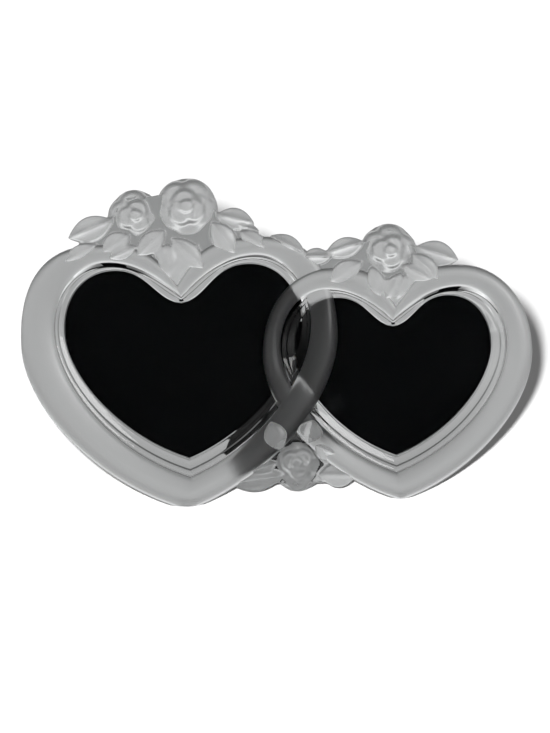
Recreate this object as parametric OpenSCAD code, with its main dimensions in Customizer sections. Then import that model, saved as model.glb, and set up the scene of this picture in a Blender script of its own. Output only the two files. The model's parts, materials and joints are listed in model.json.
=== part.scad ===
// Double heart photo frame: one glass casting of two interlocked hearts with roses and leaves,
// a black velvet back held in a recess by spring clips, and a fold-out leg.
// In the plane of the glass x runs across, y up the glass and z towards the front;
// stand() leans that plane back, so that the heart tips and the leg share the ground.

/* [Large heart] */
// Width over the frosted band
large_w = 143; // [134:1:150]
// Height from the tip to the top of the lobes
large_h = 122; // [116:1:128]
// Tilt of the top, away from the small heart
large_tilt = 1; // [0:0.5:2]
// Frosted band at the sides
large_band_side = 13.6; // [12:0.1:15]
// Frosted band at the tip
large_band_tip = 15; // [12:0.1:17]
// Frosted band at the top of the lobes
large_band_top = 8.3; // [7:0.1:10]
// Clear bevel at the sides
large_bevel_side = 4.1; // [3:0.1:5]
// Clear bevel at the tip
large_bevel_tip = 8.3; // [6:0.1:10]
// Clear bevel at the top of the lobes
large_bevel_top = 3.2; // [2.5:0.1:5]

/* [Small heart] */
// Width over the frosted band
small_w = 121.6; // [116:0.1:128]
// How much lower than the large heart it is, from tip to lobes
height_step = 16; // [12:1:20]
// Tilt of the top, away from the large heart
small_tilt = 0.6; // [0:0.1:2]
// Frosted band at the sides
small_band_side = 9.8; // [8:0.1:12]
// Frosted band at the tip
small_band_tip = 12.8; // [10:0.1:15]
// Frosted band at the top of the lobes
small_band_top = 9.8; // [8:0.1:12]
// Clear bevel at the sides
small_bevel_side = 6.6; // [5:0.1:8]
// Clear bevel at the tip
small_bevel_tip = 7.5; // [6:0.1:9]
// Clear bevel at the top of the lobes
small_bevel_top = 3.3; // [2.5:0.1:5]
// How far the hearts reach into each other, measured over their bands
interlock = 36.3; // [34:0.1:40]
// How much higher the small heart's tip lies on the glass
tip_rise = 1.1; // [0:0.1:2]
// Shift of the windows in their bands, towards the other heart
window_shift = 1.7; // [1:0.1:2.5]

/* [Glass] */
// From the flat back to the front face of the windows
pane_front = 9; // [8.5:0.1:11]
// Thickness of the windows
pane_t = 3; // [2.5:0.1:4]
// Height of the frosted bands above the windows
band_h = 5; // [4:0.1:6]
// Width of the step where one band dives under the other
crossing_reach = 24; // [18:1:30]
// Lean of the glass from upright
lean = 15; // [12:1:18]

/* [Flowers] */
// Radius of the bud beside the large rose
bud_r = 10.2; // [9:0.1:11.5]
// Radius of the large rose
large_rose_r = 14.2; // [13:0.1:15.5]
// Radius of the small heart's rose
small_rose_r = 12.8; // [12:0.1:14]
// Radius of the rose between the tips
low_rose_r = 12.6; // [11.5:0.1:13.5]
// Height of a rose above the flat back
rose_h = 19; // [17:0.1:21]
// Height of the upper leaves' edge above the flat back
leaf_edge_h = 11; // [9.5:0.1:12.5]
// Height of a leaf's midrib above its edge
leaf_rib_h = 3; // [2:0.1:4]

/* [Back] */
// Thickness of the black card behind the windows
card_t = 0.5; // [0.3:0.1:0.7]
// Thickness of the foam that presses the card forward
pad_t = 1; // [0.8:0.1:1.2]
// Thickness of the backing board
board_t = 2; // [1.6:0.1:2.2]
// Thickness of the velvet
velvet_t = 0.4; // [0.3:0.1:0.5]
// Play between the back's edge and the wall of the recess
back_play = 0.4; // [0.3:0.05:0.6]
// Length of a spring clip from its inner end to the wall
clip_l = 13; // [12:0.5:15]
// Width of a spring clip
clip_w = 6; // [5:0.5:7]
// Thickness of the clip's brass strip
clip_t = 0.4; // [0.3:0.05:0.5]
// Gap between a clip's bend and the wall at its middle
clip_play = 0.35; // [0.3:0.05:0.6]

/* [Leg] */
// How far the leg's middle lies inside the widest point of the large recess
leg_inset = 13; // [12:0.5:15]
// Angle of the open leg from upright
leg_angle = 14; // [12:1:16]
// Width of the leg at the hinge
leg_top_w = 20; // [18:1:24]
// Width of the leg at the ground
leg_foot_w = 44; // [40:1:48]
// Thickness of the leg's board
leg_t = 2; // [1.6:0.1:2.4]
// Gap between the folded leg's eyelet and the flat back of the glass
leg_play = 0.2; // [0.1:0.05:0.4]
// Width of the ribbon that stops the leg
ribbon_w = 10; // [8:1:12]
// Gap between the ribbon's bend and the wall of the recess below it
stay_rise = 1.5; // [1:0.1:2.5]
// Distance from the hinge axis to the ribbon's bends
ribbon_reach = 18; // [17:0.5:20]

/* [Hinge] */
// Width of the hinge
hinge_w = 16; // [14:1:17]
// Length of a hinge leaf from the axis
leaf_l = 12; // [11:0.5:13]
// Thickness of a hinge leaf
leaf_t = 0.8; // [0.6:0.1:0.9]
// Outer radius of the knuckles
knuckle_r = 1.6; // [1.5:0.05:1.8]
// Radius of the hinge pin
pin_r = 0.75; // [0.6:0.05:0.8]
// Running clearance between pin and knuckle
pin_play = 0.05; // [0.02:0.01:0.08]
// Gap between neighbouring knuckles
knuckle_gap = 0.25; // [0.2:0.05:0.4]
// Radius of a rivet's shank
rivet_r = 0.9; // [0.7:0.05:1]
// Radius of a rivet's head
rivet_head_r = 1.7; // [1.5:0.1:1.9]
// Height of a rivet's head
rivet_head_h = 0.5; // [0.4:0.1:0.6]
// Clearance of a shank in its hole
rivet_play = 0.05; // [0.03:0.01:0.08]

/* [Hidden] */

$fn = 48;
overrun = 1;

// Heart outlines: height of the cleft, place of the lobe's top, height of the widest point,
// then the lengths of the six curve handles
large_shape_shares = [0.84, 0.53, 0.64, 0.3, 0.24, 0.28, 0.25, 0.25, 0.53];
small_shape_shares = [0.84, 0.48, 0.63, 0.3, 0.24, 0.25, 0.24, 0.245, 0.53];
edge_shape_shares = [0.825, 0.58, 0.69, 0.12, 0.28, 0.24, 0.18, 0.225, 0.66];
pane_shape_shares = [0.812, 0.57, 0.69, 0.22, 0.3, 0.24, 0.19, 0.22, 0.64];
outer_cleft_angle = 60;
edge_cleft_angle = 45;
pane_cleft_angle = 6;
outer_tip_angle = 17;
inner_tip_angle = 20.5;
curve_steps = [10, 11, 15];

// Cross-section of a frosted band from its outer side to the clear bevel: place, height
band_shares = [[0, 0.2], [0.04, 0.52], [0.13, 0.8], [0.3, 0.97], [0.5, 1], [0.72, 0.92],
               [0.92, 0.76], [1, 0.6]];
// Cross-section of the stepped bevel from the band to the window
bevel_shares = [[0.08, 0.44], [0.36, 0.4], [0.46, 0.2], [0.84, 0.14], [1, 0]];
// Where a band dives under the other it loses this part of its height
dive_share = 0.5;
// Place of the crossing's middle line in the band
middle_share = 0.45;
// Depth of the ground's cut into the small heart's tip, as a share of the heart's height
foot_share = 0.006;

// Roses: middle as shares of the heart's half width and height, or of the tips' distance
bud_place_shares = [-0.26, 1.117];
large_rose_place_shares = [0.085, 1.118];
small_rose_place_shares = [-0.047, 1.064];
low_rose_place_shares = [0.021, 0.204];
// Heights of the buds and small roses against the large one
bud_height_share = 0.86;
small_rose_height_share = 0.94;
// Rose section from the outside to the middle: radius, height, depth of the notches
rose_shares = [[1, 0, 0.05], [1, 0.5, 0.05], [0.97, 0.7, 0.07], [0.78, 0.82, 0.08],
               [0.74, 0.66, 0.06], [0.68, 0.86, 0.1], [0.54, 0.94, 0.1], [0.47, 0.76, 0.08],
               [0.41, 0.92, 0.14], [0.28, 1, 0.14], [0.18, 0.84, 0.1], [0.1, 0.9, 0]];
rose_petals = [5, 5, 5, 5, 4, 4, 4, 3, 3, 3, 2, 2];
rose_turn = 37;
rose_sides = 36;

// Leaves: base and tip as shares, width as a share, lift of the edge as a share of its height
large_leaf_shares = [[-0.38, 1.09, -0.67, 1.03, 0.16, 0.95], [-0.49, 1, -0.71, 0.94, 0.11, 1.22],
                     [-0.28, 1.03, -0.46, 0.97, 0.14, 1.24], [-0.24, 0.98, -0.44, 0.93, 0.09, 1.28],
                     [-0.06, 1.04, -0.24, 0.95, 0.13, 1.3], [-0.05, 0.99, -0.04, 0.87, 0.13, 1.32],
                     [-0.02, 1.01, 0.18, 0.89, 0.14, 1.3], [0.24, 1.06, 0.38, 0.94, 0.15, 1.26],
                     [0.27, 1.09, 0.51, 1.05, 0.14, 0.95], [0.39, 1.05, 0.54, 1.02, 0.06, 0.9],
                     [0.41, 1.02, 0.59, 0.95, 0.11, 1.2], [0.6, 1, 0.82, 0.93, 0.12, 1.1]];
small_leaf_shares = [[-0.23, 1.11, -0.52, 1.06, 0.15, 0.95], [-0.47, 1.05, -0.7, 1.05, 0.13, 1],
                     [-0.25, 1.02, -0.5, 0.94, 0.16, 1.25], [-0.18, 1, -0.12, 0.87, 0.13, 1.3],
                     [0.04, 0.97, -0.08, 0.86, 0.11, 1.3], [0.07, 0.96, 0, 0.86, 0.1, 1.32],
                     [0.05, 1, 0.27, 0.94, 0.13, 1.28], [0.15, 1.08, 0.47, 1.02, 0.19, 0.95],
                     [0.12, 1.05, 0.33, 0.93, 0.15, 1.22]];
low_leaf_shares = [[-0.06, 0.27, -0.1, 0.41, 0.11, 1.22], [0.07, 0.3, 0.1, 0.41, 0.12, 1.22],
                   [0.1, 0.29, 0.21, 0.24, 0.1, 1.15], [0.16, 0.23, 0.3, 0.19, 0.08, 1],
                   [0.12, 0.15, 0.3, 0.14, 0.12, 0.95], [-0.05, 0.15, -0.3, 0.12, 0.11, 0.92],
                   [-0.08, 0.21, -0.21, 0.17, 0.06, 1]];
leaf_steps = 5;
rib_start_share = 0.08;
rib_end_share = 0.9;
rib_width_share = 0.08;

// Glass web behind the flowers, as places like the leaves: its upper edge from left to right,
// then its lower edge, inside the bands, from right to left
large_web_shares = [[-0.67, 0.94], [-0.67, 1.01], [-0.39, 1.1], [-0.3, 1.12], [-0.16, 1.168], [-0.07, 1.175],
                    [0.1, 1.15], [0.28, 1.1], [0.43, 1.07], [0.53, 1.01], [0.67, 0.97]];
small_web_shares = [[-0.65, 1.05], [-0.5, 1.06], [-0.25, 1.11], [0, 1.1], [0.18, 1.08], [0.37, 1.04],
                    [0.44, 0.98]];
small_web_foot_shares = [[0.25, 0.91], [0.02, 0.79], [-0.02, 0.79], [-0.25, 0.91], [-0.52, 0.95]];
large_web_foot_shares = [[0.5, 0.96], [0.25, 0.92], [0.02, 0.8], [-0.02, 0.8], [-0.25, 0.92], [-0.5, 0.96]];
low_web_shares = [[-0.26, 0.13], [-0.17, 0.11], [-0.067, 0.115], [0.11, 0.11], [0.2, 0.11], [0.27, 0.14],
                  [0.1, 0.39], [-0.08, 0.39]];

// Spring clips: side of the window, curve of its outline and place on that curve
large_clip_shares = [[-1, 1, 0.55], [-1, 2, 0.5], [1, 0, 0.8]];
small_clip_shares = [[-1, 0, 0.85], [1, 1, 0.55], [1, 2, 0.5]];
// Clip strip, from its seat to its bend and lip: way to the wall, way to the back
clip_path_shares = [[1, 0], [0.36, 0], [0.12, 0.42], [0, 0.62], [0.05, 0.9]];
clip_rivet_share = 0.72;
look_ahead_share = 0.01;

// Places of the rivets and eyelets on their leaves and ribbon ends
rivet_spread_share = 0.27;
rivet_row_share = 0.62;
ribbon_end_l = 8;
ribbon_t = 0.4;
eyelet_hole_r = 1;
eyelet_r = 1.5;
eyelet_rim_r = 2.6;
eyelet_rim_t = 0.4;
foot_corner_r = 4;

// Levels behind the front, from the windows to the hinge
recess_d = pane_front - pane_t;
card_z = recess_d - card_t;
pad_z = card_z - pad_t;
board_z = pad_z - board_t;
velvet_z = board_z - velvet_t;
hinge_z = velvet_z - knuckle_r;
crown_z = pane_front + band_h;

// Hearts: tip, tilt, half width and height
small_h = large_h - height_step;
tip_gap = (large_w + small_w) / 2 - interlock;
large = [-tip_gap / 2, 0, large_tilt, large_w / 2, large_h];
small = [tip_gap / 2, tip_rise, -small_tilt, small_w / 2, small_h];
large_frost = inset(large, large_band_side, large_band_tip, large_band_top, window_shift);
small_frost = inset(small, small_band_side, small_band_tip, small_band_top, -window_shift);
large_window = inset(large_frost, large_bevel_side, large_bevel_tip, large_bevel_top, 0);
small_window = inset(small_frost, small_bevel_side, small_bevel_tip, small_bevel_top, 0);

large_out = heart(large, large_shape_shares, outer_cleft_angle, outer_tip_angle);
small_out = heart(small, small_shape_shares, outer_cleft_angle, outer_tip_angle);
large_edge = heart(large_frost, edge_shape_shares, edge_cleft_angle, inner_tip_angle);
small_edge = heart(small_frost, edge_shape_shares, edge_cleft_angle, inner_tip_angle);
large_pane = window(large_window);
small_pane = window(small_window);

upper_crossing = crossing(large_out, large_edge, small_out, small_edge, large_h / 2, 1);
lower_crossing = crossing(large_out, large_edge, small_out, small_edge, large_h / 2, -1);

// The tips stand on their front edge as on their back: the ground cuts them at the lean
foot_cut = tip_rise + small_h * foot_share;
foot_y = foot_cut + crown_z * tan(lean);

// The large recess at its widest, beside the leg, and its wall below the ribbon's edge, which sets
// how low the ribbon and the hinge can lie
leg_x = on_heart([1, pane_shape_shares[2]], large_window)[0] - leg_inset;
wall_top_y = on_heart([0, pane_shape_shares[2]], large_window)[1];
wall_y = lookup(leg_x + ribbon_w / 2,
                [for (p = large_pane) if (p[0] > large_window[0] && p[1] < wall_top_y) p]);
hinge_y = wall_y + stay_rise + ribbon_reach;

// Ground to hinge axis, and the leg's length along its board
hinge_height = (hinge_y - foot_y) * cos(lean) + hinge_z * sin(lean);
leg_l = hinge_height / cos(leg_angle) + leg_t;
open_angle = lean + leg_angle;
leg_z = -leg_play - eyelet_rim_t - ribbon_t;
leg_gap = knuckle_r + leg_play;
leg_back = hinge_z - leg_z + leg_t + velvet_t;

// Eyelets in the ribbon's ends
board_eyelet_y = hinge_y - ribbon_reach + ribbon_end_l / 2;
leg_eyelet_y = ribbon_reach + ribbon_end_l / 2;

// Footprint, for an origin under the middle
x_low = min([for (p = large_out) p[0]]);
x_high = max([for (p = small_out) p[0]]);
low_rose = on_tips(low_rose_place_shares);
y_low = min([for (s = rose_shares)
             ground([low_rose[1] - low_rose_r * s[0], rose_h * small_rose_height_share * s[1]])[0]]);
y_high = ground([hinge_y, hinge_z])[0] + hinge_height * tan(leg_angle) + leg_back / cos(leg_angle);

function place(p, h) = [h[0] + p[0] * cos(h[2]) - p[1] * sin(h[2]),
                        h[1] + p[0] * sin(h[2]) + p[1] * cos(h[2])];
function on_heart(s, h) = place([s[0] * h[3], s[1] * h[4]], h);
function on_tips(s) = [s[0] * tip_gap, s[1] * tip_gap];
function inset(h, side, tip, top, shift) =
    let (p = place([shift, tip], h)) [p[0], p[1], h[2], h[3] - side, h[4] - tip - top];
function ground(p) = [(p[0] - foot_y) * sin(lean) - p[1] * cos(lean),
                      (p[0] - foot_y) * cos(lean) + p[1] * sin(lean)];
function mix(a, b, s) = a * (1 - s) + b * s;
function bezier(c, t) = c[0] * pow(1 - t, 3) + 3 * c[1] * t * pow(1 - t, 2)
                        + 3 * c[2] * t * t * (1 - t) + c[3] * pow(t, 3);

// Three curves of the right half of a heart: cleft to lobe, lobe to side, side to tip
function half_curves(h, s, cleft_angle, tip_angle) =
    let (a = h[3], b = h[4], cleft = [0, s[0] * b], lobe = [s[1] * a, b], side = [a, s[2] * b])
    [[cleft, cleft + a * s[3] * [cos(cleft_angle), sin(cleft_angle)], lobe - [s[4] * a, 0], lobe],
     [lobe, lobe + [s[5] * a, 0], side + [0, s[6] * b], side],
     [side, side - [0, s[7] * b], a * s[8] * [cos(tip_angle), sin(tip_angle)], [0, 0]]];
function heart(h, s, cleft_angle, tip_angle) =
    let (curves = half_curves(h, s, cleft_angle, tip_angle),
         half = [for (c = [0:2]) for (i = [0:curve_steps[c] - 1]) bezier(curves[c], i / curve_steps[c])],
         last = len(half) - 1)
    [for (p = concat(half, [[0, 0]], [for (i = [last:-1:1]) [-half[i][0], half[i][1]]])) place(p, h)];
function window(h) = heart(h, pane_shape_shares, pane_cleft_angle, inner_tip_angle);

// Middle of the place where the two bands cross, above or below a height
function crossing(out_a, edge_a, out_b, edge_b, height, way) =
    let (a = [for (i = [0:len(out_a) - 1]) mix(out_a[i], edge_a[i], middle_share)],
         b = [for (i = [0:len(out_b) - 1]) mix(out_b[i], edge_b[i], middle_share)],
         pairs = [for (p = a) if ((p[1] - height) * way > 0) for (q = b)
                  if ((q[1] - height) * way > 0) [norm(p - q), (p + q) / 2]],
         nearest = min([for (pair = pairs) pair[0]]))
    [for (pair = pairs) if (pair[0] == nearest) pair[1]][0];
function dive(p, cross) =
    let (d = norm(p - cross) / crossing_reach) d < 1 ? 1 - dive_share * (1 + cos(180 * d)) / 2 : 1;

// Point and outward direction on the wall of a window
function wall_site(h, s) =
    let (curve = half_curves(h, pane_shape_shares, pane_cleft_angle, inner_tip_angle)[s[1]],
         p = bezier(curve, s[2]), q = bezier(curve, s[2] + look_ahead_share), d = (q - p) / norm(q - p))
    [place([s[0] * p[0], p[1]], h), atan2(d[0], -s[0] * d[1]) + h[2]];
function strip(path, t) =
    let (last = len(path) - 1,
         ways = [for (i = [0:last]) let (d = path[min(i + 1, last)] - path[max(i - 1, 0)])
                 [-d[1], d[0]] / norm(d) * t / 2])
    concat([for (i = [0:last]) path[i] + ways[i]], [for (i = [last:-1:0]) path[i] - ways[i]]);
// Faces between rings of n points, from the lowest ring to the last, with the lowest one closed
function ring_faces(rows, n) =
    concat([[for (i = [n - 1:-1:0]) i]],
           [for (r = [0:rows - 2]) for (i = [0:n - 1])
            let (a = r * n + i, b = r * n + (i + 1) % n) for (f = [[a, b, b + n], [a, b + n, a + n]]) f]);

module stand() {
    translate([-(x_low + x_high) / 2, -(y_low + y_high) / 2 - foot_y * sin(lean),
               -foot_y * cos(lean)])
        rotate([90 - lean, 0, 0]) children();
}

// Turns the leg, drawn folded flat, about the hinge axis into its open place
module open_leg() {
    translate([leg_x, hinge_y, hinge_z]) rotate([open_angle, 0, 0])
        translate([0, 0, -hinge_z]) children();
}

module ground_slab() {
    slab_l = large_w + small_w;
    translate([-slab_l / 2, -slab_l / 2, -slab_l]) cube(slab_l);
}

// Points of a band or bevel on the lines from one outline to the next, at the shares of its section
function band_rows(from, to, shares, cross) =
    [for (s = shares) [for (i = [0:len(from) - 1]) let (p = mix(from[i], to[i], s[0]))
                       [p[0], p[1], pane_front + band_h * s[1] * dive(p, cross)]]];

// Solid heart: side, frosted band, stepped bevel and window
module heart_glass(out, edge, pane, cross) {
    n = len(out);
    rows = concat([[for (p = out) [p[0], p[1], 0]]], band_rows(out, edge, band_shares, cross),
                  band_rows(edge, pane, bevel_shares, cross));
    last = (len(rows) - 1) * n;
    polyhedron([for (row = rows) for (p = row) p],
               concat(ring_faces(len(rows), n), [[for (i = [0:n - 1]) last + i]]));
}

module rose(r, h) {
    loops = [for (k = [0:len(rose_shares) - 1]) let (s = rose_shares[k], n = rose_petals[k])
             [for (i = [0:rose_sides - 1])
              let (a = -360 * i / rose_sides, notch = pow(abs(cos(n * a / 2 + rose_turn * k)), 6),
                   q = r * s[0] * (1 - s[2] * notch))
              [q * cos(a), q * sin(a), h * s[1] * (1 - s[2] * notch / 2)]]];
    count = len(loops) * rose_sides;
    last = count - rose_sides;
    top = rose_shares[len(rose_shares) - 1];
    polyhedron(concat([for (loop = loops) for (p = loop) p], [[0, 0, h * top[1]]]),
               concat(ring_faces(len(loops), rose_sides),
                      [for (i = [0:rose_sides - 1]) [last + i, last + (i + 1) % rose_sides, count]]));
}

module leaf(base, tip, width, lift) {
    way = tip - base;
    l = norm(way);
    translate(base) rotate(atan2(way[1], way[0])) hull() {
        linear_extrude(leaf_edge_h * lift)
            polygon([for (side = [1, -1]) for (i = [0:leaf_steps - 1])
                     let (t = side > 0 ? i / leaf_steps : 1 - i / leaf_steps)
                     [l * t, side * 2 * width * t * (1 - t)]]);
        linear_extrude(leaf_edge_h * lift + leaf_rib_h)
            polygon([[l * rib_start_share, 0], [l / 2, width * rib_width_share],
                     [l * rib_end_share, 0], [l / 2, -width * rib_width_share]]);
    }
}

module leaves() {
    for (s = large_leaf_shares)
        leaf(on_heart([s[0], s[1]], large), on_heart([s[2], s[3]], large), s[4] * large[3], s[5]);
    for (s = small_leaf_shares)
        leaf(on_heart([s[0], s[1]], small), on_heart([s[2], s[3]], small), s[4] * small[3], s[5]);
    for (s = low_leaf_shares)
        leaf(on_tips([s[0], s[1]]), on_tips([s[2], s[3]]), s[4] * tip_gap, s[5]);
}

module roses() {
    translate(on_heart(bud_place_shares, large)) rose(bud_r, rose_h * bud_height_share);
    translate(on_heart(large_rose_place_shares, large)) rose(large_rose_r, rose_h);
    translate(on_heart(small_rose_place_shares, small))
        rose(small_rose_r, rose_h * small_rose_height_share);
    translate(low_rose) rose(low_rose_r, rose_h * small_rose_height_share);
}

// Web behind the flowers
module web() {
    linear_extrude(pane_front) {
        polygon(concat([for (s = large_web_shares) on_heart(s, large)],
                       [for (s = concat(small_web_shares, small_web_foot_shares)) on_heart(s, small)],
                       [for (s = large_web_foot_shares) on_heart(s, large)]));
        polygon([for (s = low_web_shares) on_tips(s)]);
    }
}

// Outline of what lies in the recess, kept off its wall by the play
module back_outline(play) {
    polygon(window(inset(large_window, play, play, play, 0)));
    polygon(window(inset(small_window, play, play, play, 0)));
}

module glass_body() {
    color([0.8, 0.83, 0.83, 0.6]) difference() {
        stand() difference() {
            union() {
                web();
                heart_glass(large_out, large_edge, large_pane, upper_crossing);
                heart_glass(small_out, small_edge, small_pane, lower_crossing);
                roses();
                leaves();
            }
            translate([0, 0, -overrun]) linear_extrude(recess_d + overrun) back_outline(0);
        }
        ground_slab();
    }
}

module black_card() {
    color("black") stand() translate([0, 0, card_z]) linear_extrude(card_t) back_outline(back_play);
}

module foam_pad() {
    color("dimgray") stand() translate([0, 0, pad_z]) linear_extrude(pad_t) back_outline(back_play);
}

// Holes for every rivet and eyelet that goes through the back
module back_holes(bottom, height) {
    for (site = clip_sites()) at_clip_rivet(site) hole(bottom, height, rivet_r + rivet_play);
    for (side = [-1, 1]) translate([leg_x + side * rivet_x(), hinge_y + rivet_y()])
        hole(bottom, height, rivet_r + rivet_play);
    translate([leg_x, board_eyelet_y]) hole(bottom, height, eyelet_r + rivet_play);
}

module hole(bottom, height, r) {
    translate([0, 0, bottom - overrun]) cylinder(h = height + 2 * overrun, r = r);
}

module backing_board() {
    color("peru") stand() difference() {
        translate([0, 0, board_z]) linear_extrude(board_t) back_outline(back_play);
        back_holes(board_z, board_t);
    }
}

module velvet_back() {
    color([0.08, 0.08, 0.09]) stand() difference() {
        translate([0, 0, velvet_z]) linear_extrude(velvet_t) back_outline(back_play);
        back_holes(velvet_z, velvet_t);
    }
}

function clip_sites() = concat([for (s = large_clip_shares) wall_site(large_window, s)],
                               [for (s = small_clip_shares) wall_site(small_window, s)]);
module at_clip(site) {
    translate(site[0]) rotate(site[1]) children();
}

module at_clip_rivet(site) {
    at_clip(site) translate([-clip_l * clip_rivet_share, 0]) children();
}

module spring_clip(site) {
    path = [for (s = clip_path_shares)
            [-clip_play - clip_t / 2 - s[0] * (clip_l - clip_play), velvet_z - clip_t / 2 - s[1] * velvet_z]];
    color("gold") stand() difference() {
        at_clip(site) rotate([90, 0, 0]) translate([0, 0, -clip_w / 2])
            linear_extrude(clip_w) polygon(strip(path, clip_t));
        at_clip_rivet(site) hole(velvet_z - clip_t, clip_t, rivet_r + rivet_play);
    }
}

// Rivet with its head on the back face and its shank forward through the stack
module rivet(head_z, front_z) {
    translate([0, 0, head_z]) cylinder(h = front_z - head_z, r = rivet_r);
    translate([0, 0, head_z - rivet_head_h]) cylinder(h = rivet_head_h, r = rivet_head_r);
}

module clip_rivets() {
    color("goldenrod") stand() for (site = clip_sites())
        at_clip_rivet(site) rivet(velvet_z - clip_t, board_z + board_t);
}

function rivet_x() = hinge_w * rivet_spread_share;
function rivet_y() = leaf_l * rivet_row_share;

// Knuckle from one place on the axis to another, drawn about the hinge axis
module knuckle(from, to) {
    translate([from, 0, 0]) rotate([0, 90, 0]) cylinder(h = to - from, r = knuckle_r);
}

module pin_bore() {
    translate([-hinge_w, 0, 0]) rotate([0, 90, 0]) cylinder(h = 2 * hinge_w, r = pin_r + pin_play);
}

module hinge_fixed_leaf() {
    inner = hinge_w / 6 + knuckle_gap;
    color("gold") stand() translate([leg_x, hinge_y, hinge_z]) difference() {
        union() {
            knuckle(-hinge_w / 2, -inner);
            knuckle(inner, hinge_w / 2);
            for (x = [-hinge_w / 2, inner])
                translate([x, 0, knuckle_r - leaf_t])
                    cube([hinge_w / 2 - inner, 2 * knuckle_r, leaf_t]);
            translate([-hinge_w / 2, knuckle_r + knuckle_gap, knuckle_r - leaf_t])
                cube([hinge_w, leaf_l - knuckle_r - knuckle_gap, leaf_t]);
        }
        pin_bore();
        for (side = [-1, 1]) translate([side * rivet_x(), rivet_y()])
            hole(knuckle_r - leaf_t, leaf_t, rivet_r + rivet_play);
    }
}

module fixed_leaf_rivets() {
    color("goldenrod") stand() for (side = [-1, 1])
        translate([leg_x + side * rivet_x(), hinge_y + rivet_y()])
            rivet(velvet_z - leaf_t, board_z + board_t);
}

module hinge_pin() {
    color("darkgoldenrod") stand() translate([leg_x, hinge_y, hinge_z]) rotate([0, 90, 0]) {
        cylinder(h = hinge_w, r = pin_r, center = true);
        for (side = [0, 1]) mirror([0, 0, side]) translate([0, 0, hinge_w / 2])
            cylinder(h = rivet_head_h, r = (pin_r + knuckle_r) / 2);
    }
}

module hinge_moving_leaf() {
    inner = hinge_w / 6;
    color("gold") stand() open_leg() difference() {
        union() {
            translate([0, 0, hinge_z]) knuckle(-inner, inner);
            translate([-inner, -2 * knuckle_r, leg_z])
                cube([2 * inner, 2 * knuckle_r, leaf_t]);
            translate([-hinge_w / 2, -leaf_l, leg_z])
                cube([hinge_w, leaf_l - knuckle_r - knuckle_gap, leaf_t]);
        }
        translate([0, 0, hinge_z]) pin_bore();
        for (side = [-1, 1]) translate([side * rivet_x(), -rivet_y()])
            hole(leg_z, leaf_t, rivet_r + rivet_play);
    }
}

module moving_leaf_rivets() {
    color("goldenrod") stand() open_leg() for (side = [-1, 1]) translate([side * rivet_x(), -rivet_y()]) {
        translate([0, 0, leg_z - leg_t]) cylinder(h = leg_t + leaf_t, r = rivet_r);
        translate([0, 0, leg_z + leaf_t]) cylinder(h = rivet_head_h, r = rivet_head_r);
    }
}

function leg_half_w(d) = mix(leg_top_w, leg_foot_w, d / leg_l) / 2;
module leg_outline(margin) {
    polygon([[-leg_half_w(0) - margin, -leg_gap + margin], [leg_half_w(0) + margin, -leg_gap + margin],
             [leg_half_w(leg_l) + margin, -leg_l - overrun], [-leg_half_w(leg_l) - margin, -leg_l - overrun]]);
}

module leg_holes(bottom, height) {
    for (side = [-1, 1]) translate([side * rivet_x(), -rivet_y()])
        hole(bottom, height, rivet_r + rivet_play);
    translate([0, -leg_eyelet_y]) hole(bottom, height, eyelet_r + rivet_play);
}

module leg_board() {
    color("saddlebrown") difference() {
        stand() open_leg() difference() {
            translate([0, 0, leg_z - leg_t]) linear_extrude(leg_t) leg_outline(0);
            leg_holes(leg_z - leg_t, leg_t);
        }
        ground_slab();
    }
}

// Velvet over the back of the leg and round its edges
module leg_velvet() {
    color([0.1, 0.1, 0.11]) difference() {
        stand() open_leg() difference() {
            translate([0, 0, leg_z - leg_t - velvet_t]) linear_extrude(leg_t + velvet_t) leg_outline(velvet_t);
            translate([0, 0, leg_z - leg_t]) linear_extrude(leg_t + overrun) leg_outline(0);
            translate([0, -leg_eyelet_y]) hole(leg_z - leg_t - velvet_t, velvet_t, eyelet_r + rivet_play);
        }
        ground_slab();
    }
}

// Point of the folded leg, as [along, level], where it lies when the leg is open
function opened(p) = [hinge_y + p[0] * cos(open_angle) - (p[1] - hinge_z) * sin(open_angle),
                      hinge_z + p[0] * sin(open_angle) + (p[1] - hinge_z) * cos(open_angle)];
module stay_ribbon() {
    board_z0 = velvet_z - ribbon_t / 2;
    leg_z0 = leg_z + ribbon_t / 2;
    path = [[hinge_y - ribbon_reach + ribbon_end_l, board_z0], [hinge_y - ribbon_reach, board_z0],
            opened([-ribbon_reach, leg_z0]), opened([-ribbon_reach - ribbon_end_l, leg_z0])];
    color([0.12, 0.12, 0.13]) stand() difference() {
        translate([leg_x - ribbon_w / 2, 0, 0]) rotate([90, 0, 90])
            linear_extrude(ribbon_w) polygon(strip(path, ribbon_t));
        translate([leg_x, board_eyelet_y]) hole(velvet_z - ribbon_t, ribbon_t, eyelet_r + rivet_play);
        open_leg() translate([0, -leg_eyelet_y]) hole(leg_z, ribbon_t, eyelet_r + rivet_play);
    }
}

// Tube with a rim at each end
module eyelet(rim_z, end_z) {
    difference() {
        union() {
            translate([0, 0, min(rim_z, end_z)]) cylinder(h = abs(end_z - rim_z), r = eyelet_r);
            translate([0, 0, rim_z - (rim_z < end_z ? eyelet_rim_t : 0)])
                cylinder(h = eyelet_rim_t, r = eyelet_rim_r);
        }
        hole(min(rim_z, end_z), abs(end_z - rim_z), eyelet_hole_r);
    }
}

module board_eyelet() {
    color("gold") stand() translate([leg_x, board_eyelet_y]) eyelet(velvet_z - ribbon_t, board_z + board_t);
}

module leg_eyelet() {
    color("gold") stand() open_leg() translate([0, -leg_eyelet_y])
        eyelet(leg_z + ribbon_t, leg_z - leg_t - velvet_t);
}

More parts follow.
